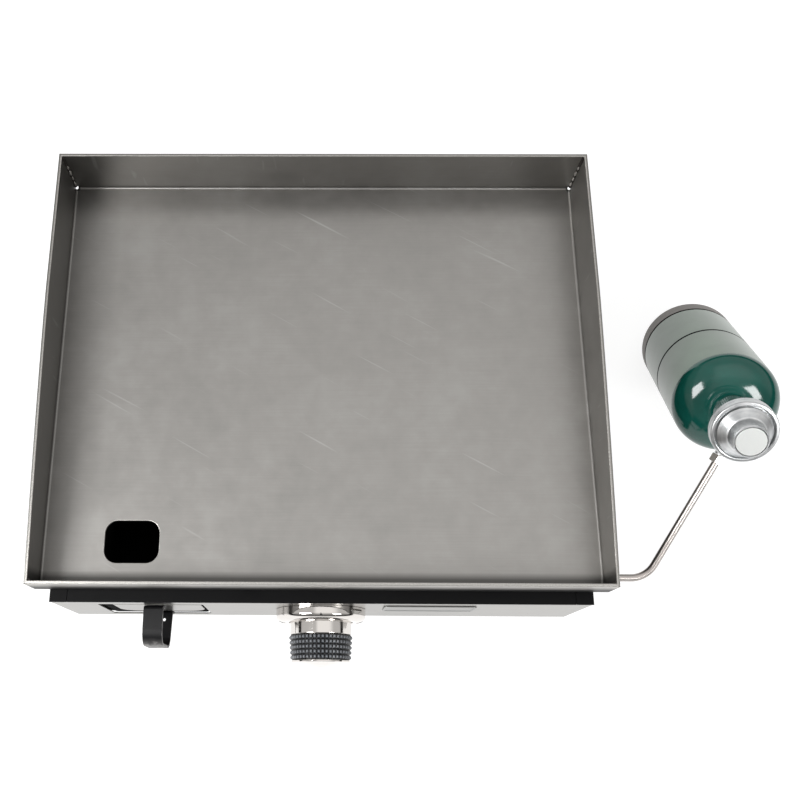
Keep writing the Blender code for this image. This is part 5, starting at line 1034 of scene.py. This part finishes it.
HOLE_LEFT, HOLE_RIGHT, HOLE_FRONT, HOLE_REAR, HOLE_CORNER = -178.55, -133.55, -164.55, -129.55, 10.5
hole = block("grease_hole", (HOLE_LEFT, HOLE_FRONT, -4), (HOLE_RIGHT, HOLE_REAR, 2), HOLE_CORNER,
             standing, 10)
carve(plate, hole, Matrix.Identity(4))
for side in (-1, 1):
    relief = lathe("relief_hole", [(0, -4), (2.2, -4), (2.2, 2.3), (0, 2.3)], 20)
    carve(plate, relief, Matrix.Translation(Vector((side * inner_x, inner_y, 0)) * MM))

bm = bmesh.new()
bm.from_mesh(plate.data)
bmesh.ops.remove_doubles(bm, verts=bm.verts, dist=WELD)
bmesh.ops.dissolve_limit(bm, angle_limit=math.radians(0.3), verts=bm.verts, edges=bm.edges)
rim_faces = set(f for f in bm.faces if f.normal.z > 0.8 and f.calc_center_median().z > 30 * MM)
rim_edges = [e for e in bm.edges if len([f for f in e.link_faces if f in rim_faces]) == 1]
hole_edges = [e for e in bm.edges
              if all(abs(v.co.z) < WELD and HOLE_LEFT - 1 < v.co.x / MM < HOLE_RIGHT + 1
                     and HOLE_FRONT - 1 < v.co.y / MM < HOLE_REAR + 1 for v in e.verts)]
for face in bm.faces:
    middle = face.calc_center_median()
    if face in rim_faces:
        face.material_index = EDGE_STEEL
    elif abs(middle.x) > (HALF_WIDTH - 0.1) * MM or abs(middle.y) > (HALF_DEPTH - 0.1) * MM:
        face.material_index = OUTSIDE_STEEL
bmesh.ops.bevel(bm, geom=rim_edges, offset=0.55 * MM, segments=3, profile=0.5, affect='EDGES',
                clamp_overlap=True, material=EDGE_STEEL)
bmesh.ops.bevel(bm, geom=[e for e in hole_edges if e.is_valid], offset=0.7 * MM, segments=2, profile=0.5,
                affect='EDGES', clamp_overlap=True, material=EDGE_STEEL)
bm.to_mesh(plate.data)
bm.free()
plate_mesh = plate.data
bpy.data.objects.remove(plate)
place("folded_plate", plate_mesh, mill_steel, "griddle", "griddle_steel", "griddle_plate", angle=35)

# Studs under the plate, and the weld that runs down each corner as a row of long beads.
STUD_X, STUD_Y = 213.9, 140.45
for lengthwise, y in (("front", -STUD_Y), ("rear", STUD_Y)):
    for hand, x in (("left", -STUD_X), ("right", STUD_X)):
        name = "stud_%s_%s" % (lengthwise, hand)
        stud = lathe(name, [(0, -12.7), (2.9, -12.7), (3.5, -12.1), (3.5, -2.6), (0, -2.6)], 32)
        place("welded_" + name, stud, ground_steel, "griddle", "griddle_steel",
              frame_matrix=Matrix.Translation(Vector((x, y, 0)) * MM))

# Steel scorched by the weld's heat, down each corner: a nearly black brown, in 2 mm patches.
scorched, tree, shader = begin("scorched weld seam", "2c2927", 0.6, 0.6)
place_in = add(tree, "ShaderNodeTexCoord").outputs["Object"]
patch = add(tree, "ShaderNodeTexNoise", {"Vector": place_in, "Scale": per(2), "Detail": 3.0})
tone = add(tree, "ShaderNodeValToRGB", {"Fac": patch.outputs["Fac"]},
           stops=[(0.3, linear("1c1a19")), (0.7, linear("3a3532"))])
join(shader, Base_Color=tone)

BEAD_GAP, BEAD_RADIUS, BEAD_STRETCH = 9.0, 1.25, 2.6
SEAM_RADIUS = 1.7
bm = bmesh.new()
for side in (-1, 1):
    for y, top in ((inner_y, REAR_WALL), (-inner_y, FRONT_WALL)):
        seam = lathe("seam_%s_%s" % ("right" if side > 0 else "left", "rear" if y > 0 else "front"),
                     [(0, 3.0), (SEAM_RADIUS, 3.0), (SEAM_RADIUS, top - 1.0), (0, top - 1.0)], 20)
        place(seam.name, seam, scorched, "griddle", "griddle_steel",
              frame_matrix=Matrix.Translation(Vector((side * inner_x, y, 0)) * MM))
        for i in range(int((top - BEAD_GAP) / BEAD_GAP)):
            spot = Vector((side * (inner_x - 1.0), y - math.copysign(1.0, y), BEAD_GAP + BEAD_GAP * i)) * MM
            size = (BEAD_RADIUS + 0.2 * math.sin(i * 3.7)) * MM
            made = bmesh.ops.create_icosphere(bm, subdivisions=2, radius=size)
            bmesh.ops.scale(bm, verts=made["verts"], vec=(1, 1, BEAD_STRETCH))
            bmesh.ops.translate(bm, verts=made["verts"], vec=spot)
place("corner_welds", as_mesh(bm, "corner_welds", outward=False), ground_steel, "griddle", "griddle_steel")


# Floor, studio and lamps
# A plain white table under a soft grey tent. The tent is open to a dark room in a narrow band just over the
# table, which the chrome shows as its dark lines.

GROUND = -170.0
TABLE_REACH = 4.0  # metres from the middle to each side
floor_data = bpy.data.meshes.new("white_table")
floor_data.from_pydata([(x * TABLE_REACH, y * TABLE_REACH, GROUND * MM)
                        for x, y in ((-1, -1), (1, -1), (1, 1), (-1, 1))], [], [(0, 1, 2, 3)])


def seen_directly(tree):
    """One for a ray that shows a surface straight, mirrored or through glass, otherwise nought."""
    path = add(tree, "ShaderNodeLightPath")
    seen = add(tree, "ShaderNodeMath", {0: path.outputs["Is Camera Ray"], 1: path.outputs["Is Glossy Ray"]},
               operation='MAXIMUM')
    return add(tree, "ShaderNodeMath", {0: seen.outputs["Value"], 1: path.outputs["Is Transmission Ray"]},
               operation='MAXIMUM')


white_table = bpy.data.materials.new("white table")
white_table.use_nodes = True
tree = white_table.node_tree
tree.nodes.clear()
seen = seen_directly(tree)
bounce = add(tree, "ShaderNodeBsdfDiffuse", {"Color": linear("e6e6e6")})
keeps = add(tree, "ShaderNodeBsdfDiffuse", {"Color": linear("9a9a9a")})
glow = add(tree, "ShaderNodeEmission", {"Color": (1, 1, 1, 1), "Strength": 0.84})
shown = add(tree, "ShaderNodeAddShader", {0: keeps.outputs["BSDF"], 1: glow.outputs["Emission"]})
either = add(tree, "ShaderNodeMixShader", {0: seen.outputs["Value"], 1: bounce.outputs["BSDF"],
                                           2: shown.outputs["Shader"]})
add(tree, "ShaderNodeOutputMaterial", {"Surface": either.outputs["Shader"]})
floor_data.materials.append(white_table)
table = stand("white_table", floor_data)

# The tent is brightest straight above the plate, falls off behind it and to its left, and is dimmer in front.
TENT_RADIUS = 3.2  # metres
TENT_GREY = "d0cfce"
tent_data = lathe("grey_tent", [(TENT_RADIUS / MM * math.cos(math.radians(a)),
                                 TENT_RADIUS / MM * math.sin(math.radians(a)) + GROUND)
                                for a in (2, 13, 14, 25, 40, 55, 70, 80, 90)], 64)
tent_grey, tree, shader = begin("grey tent cloth", "000000", 1.0)
tree.nodes.clear()
place_in = add(tree, "ShaderNodeTexCoord").outputs["Object"]
parts = add(tree, "ShaderNodeSeparateXYZ", {"Vector": place_in})
rise = add(tree, "ShaderNodeMapRange", {"Value": parts.outputs["Z"],
                                        "From Min": TENT_RADIUS * math.sin(math.radians(12)) + GROUND * MM,
                                        "From Max": TENT_RADIUS * math.sin(math.radians(17)) + GROUND * MM})
cloth = add(tree, "ShaderNodeMix", {"Factor": rise.outputs["Result"], "A": linear("161412"),
                                    "B": linear(TENT_GREY)}, data_type='RGBA')
inside = None
for part, dim, bright in (("Z", 1.9, 2.7), ("X", -1.15, -0.45), ("Y", 2.1, 1.1)):
    nearer = add(tree, "ShaderNodeMapRange", {"Value": parts.outputs[part], "From Min": dim,
                                              "From Max": bright}, interpolation_type='SMOOTHSTEP')
    if inside is None:
        inside = nearer.outputs["Result"]
    else:
        inside = add(tree, "ShaderNodeMath", {0: inside, 1: nearer.outputs["Result"]},
                     operation='MULTIPLY').outputs["Value"]
front_dim = add(tree, "ShaderNodeMapRange", {"Value": parts.outputs["Y"], "From Min": -1.2, "From Max": -0.3,
                                             "To Min": 0.45, "To Max": 1.0}, interpolation_type='SMOOTHSTEP')
strength = add(tree, "ShaderNodeMath", {0: inside, 1: 0.78, 2: front_dim.outputs["Result"]},
               operation='MULTIPLY_ADD')
light = add(tree, "ShaderNodeEmission", {"Color": cloth.outputs["Result"],
                                         "Strength": strength.outputs["Value"]})
add(tree, "ShaderNodeOutputMaterial", {"Surface": light.outputs["Emission"]})
tent_grey.cycles.emission_sampling = 'NONE'
tent_data.materials.append(tent_grey)
tent = stand("grey_tent", tent_data)
for ray in ("camera", "diffuse", "transmission", "shadow", "volume_scatter"):
    setattr(tent, "visible_" + ray, False)

world = bpy.data.worlds.new("white room")
bpy.context.scene.world = world
world.use_nodes = True
tree = world.node_tree
tree.nodes.clear()
seen = seen_directly(tree)
white = add(tree, "ShaderNodeBackground", {"Color": (1, 1, 1, 1), "Strength": 1.0})
soft = add(tree, "ShaderNodeBackground", {"Color": linear("fbfaf8"), "Strength": 0.46})
either = add(tree, "ShaderNodeMixShader", {0: seen.outputs["Value"], 1: soft.outputs["Background"],
                                           2: white.outputs["Background"]})
add(tree, "ShaderNodeOutputWorld", {"Surface": either.outputs["Shader"]})


def lamp(name, spot, aim, size, watts):
    """A square area lamp at a spot in metres, turned toward an aim."""
    data = bpy.data.lights.new(name, 'AREA')
    data.shape = 'SQUARE'
    data.size = size
    data.energy = watts
    holder = stand(name, data)
    holder.location = spot
    holder.rotation_euler = (Vector(aim) - Vector(spot)).to_track_quat('-Z', 'Y').to_euler()
    return holder


# Two square lamps are the windows that gleam on the bottle. The third, overhead, isn't mirrored by anything.
bottle_top = Vector((0.345, -0.012, 0.0))
LAMP_AWAY = 1.7  # metres
to_left = Vector((-0.729, -0.321, 0.604)).normalized()
to_front_right = Vector((0.464, -0.591, 0.66)).normalized()
lamp("window_left", bottle_top + to_left * LAMP_AWAY, bottle_top, 0.66, 20.0)
lamp("window_front", bottle_top + to_front_right * LAMP_AWAY, bottle_top, 0.52, 13.0)
lamp("overhead_softbox", (0.15, 0.5, 2.2), (0, 0, 0), 1.8, 10.5).visible_glossy = False

bpy.context.scene.view_settings.view_transform = 'Standard'
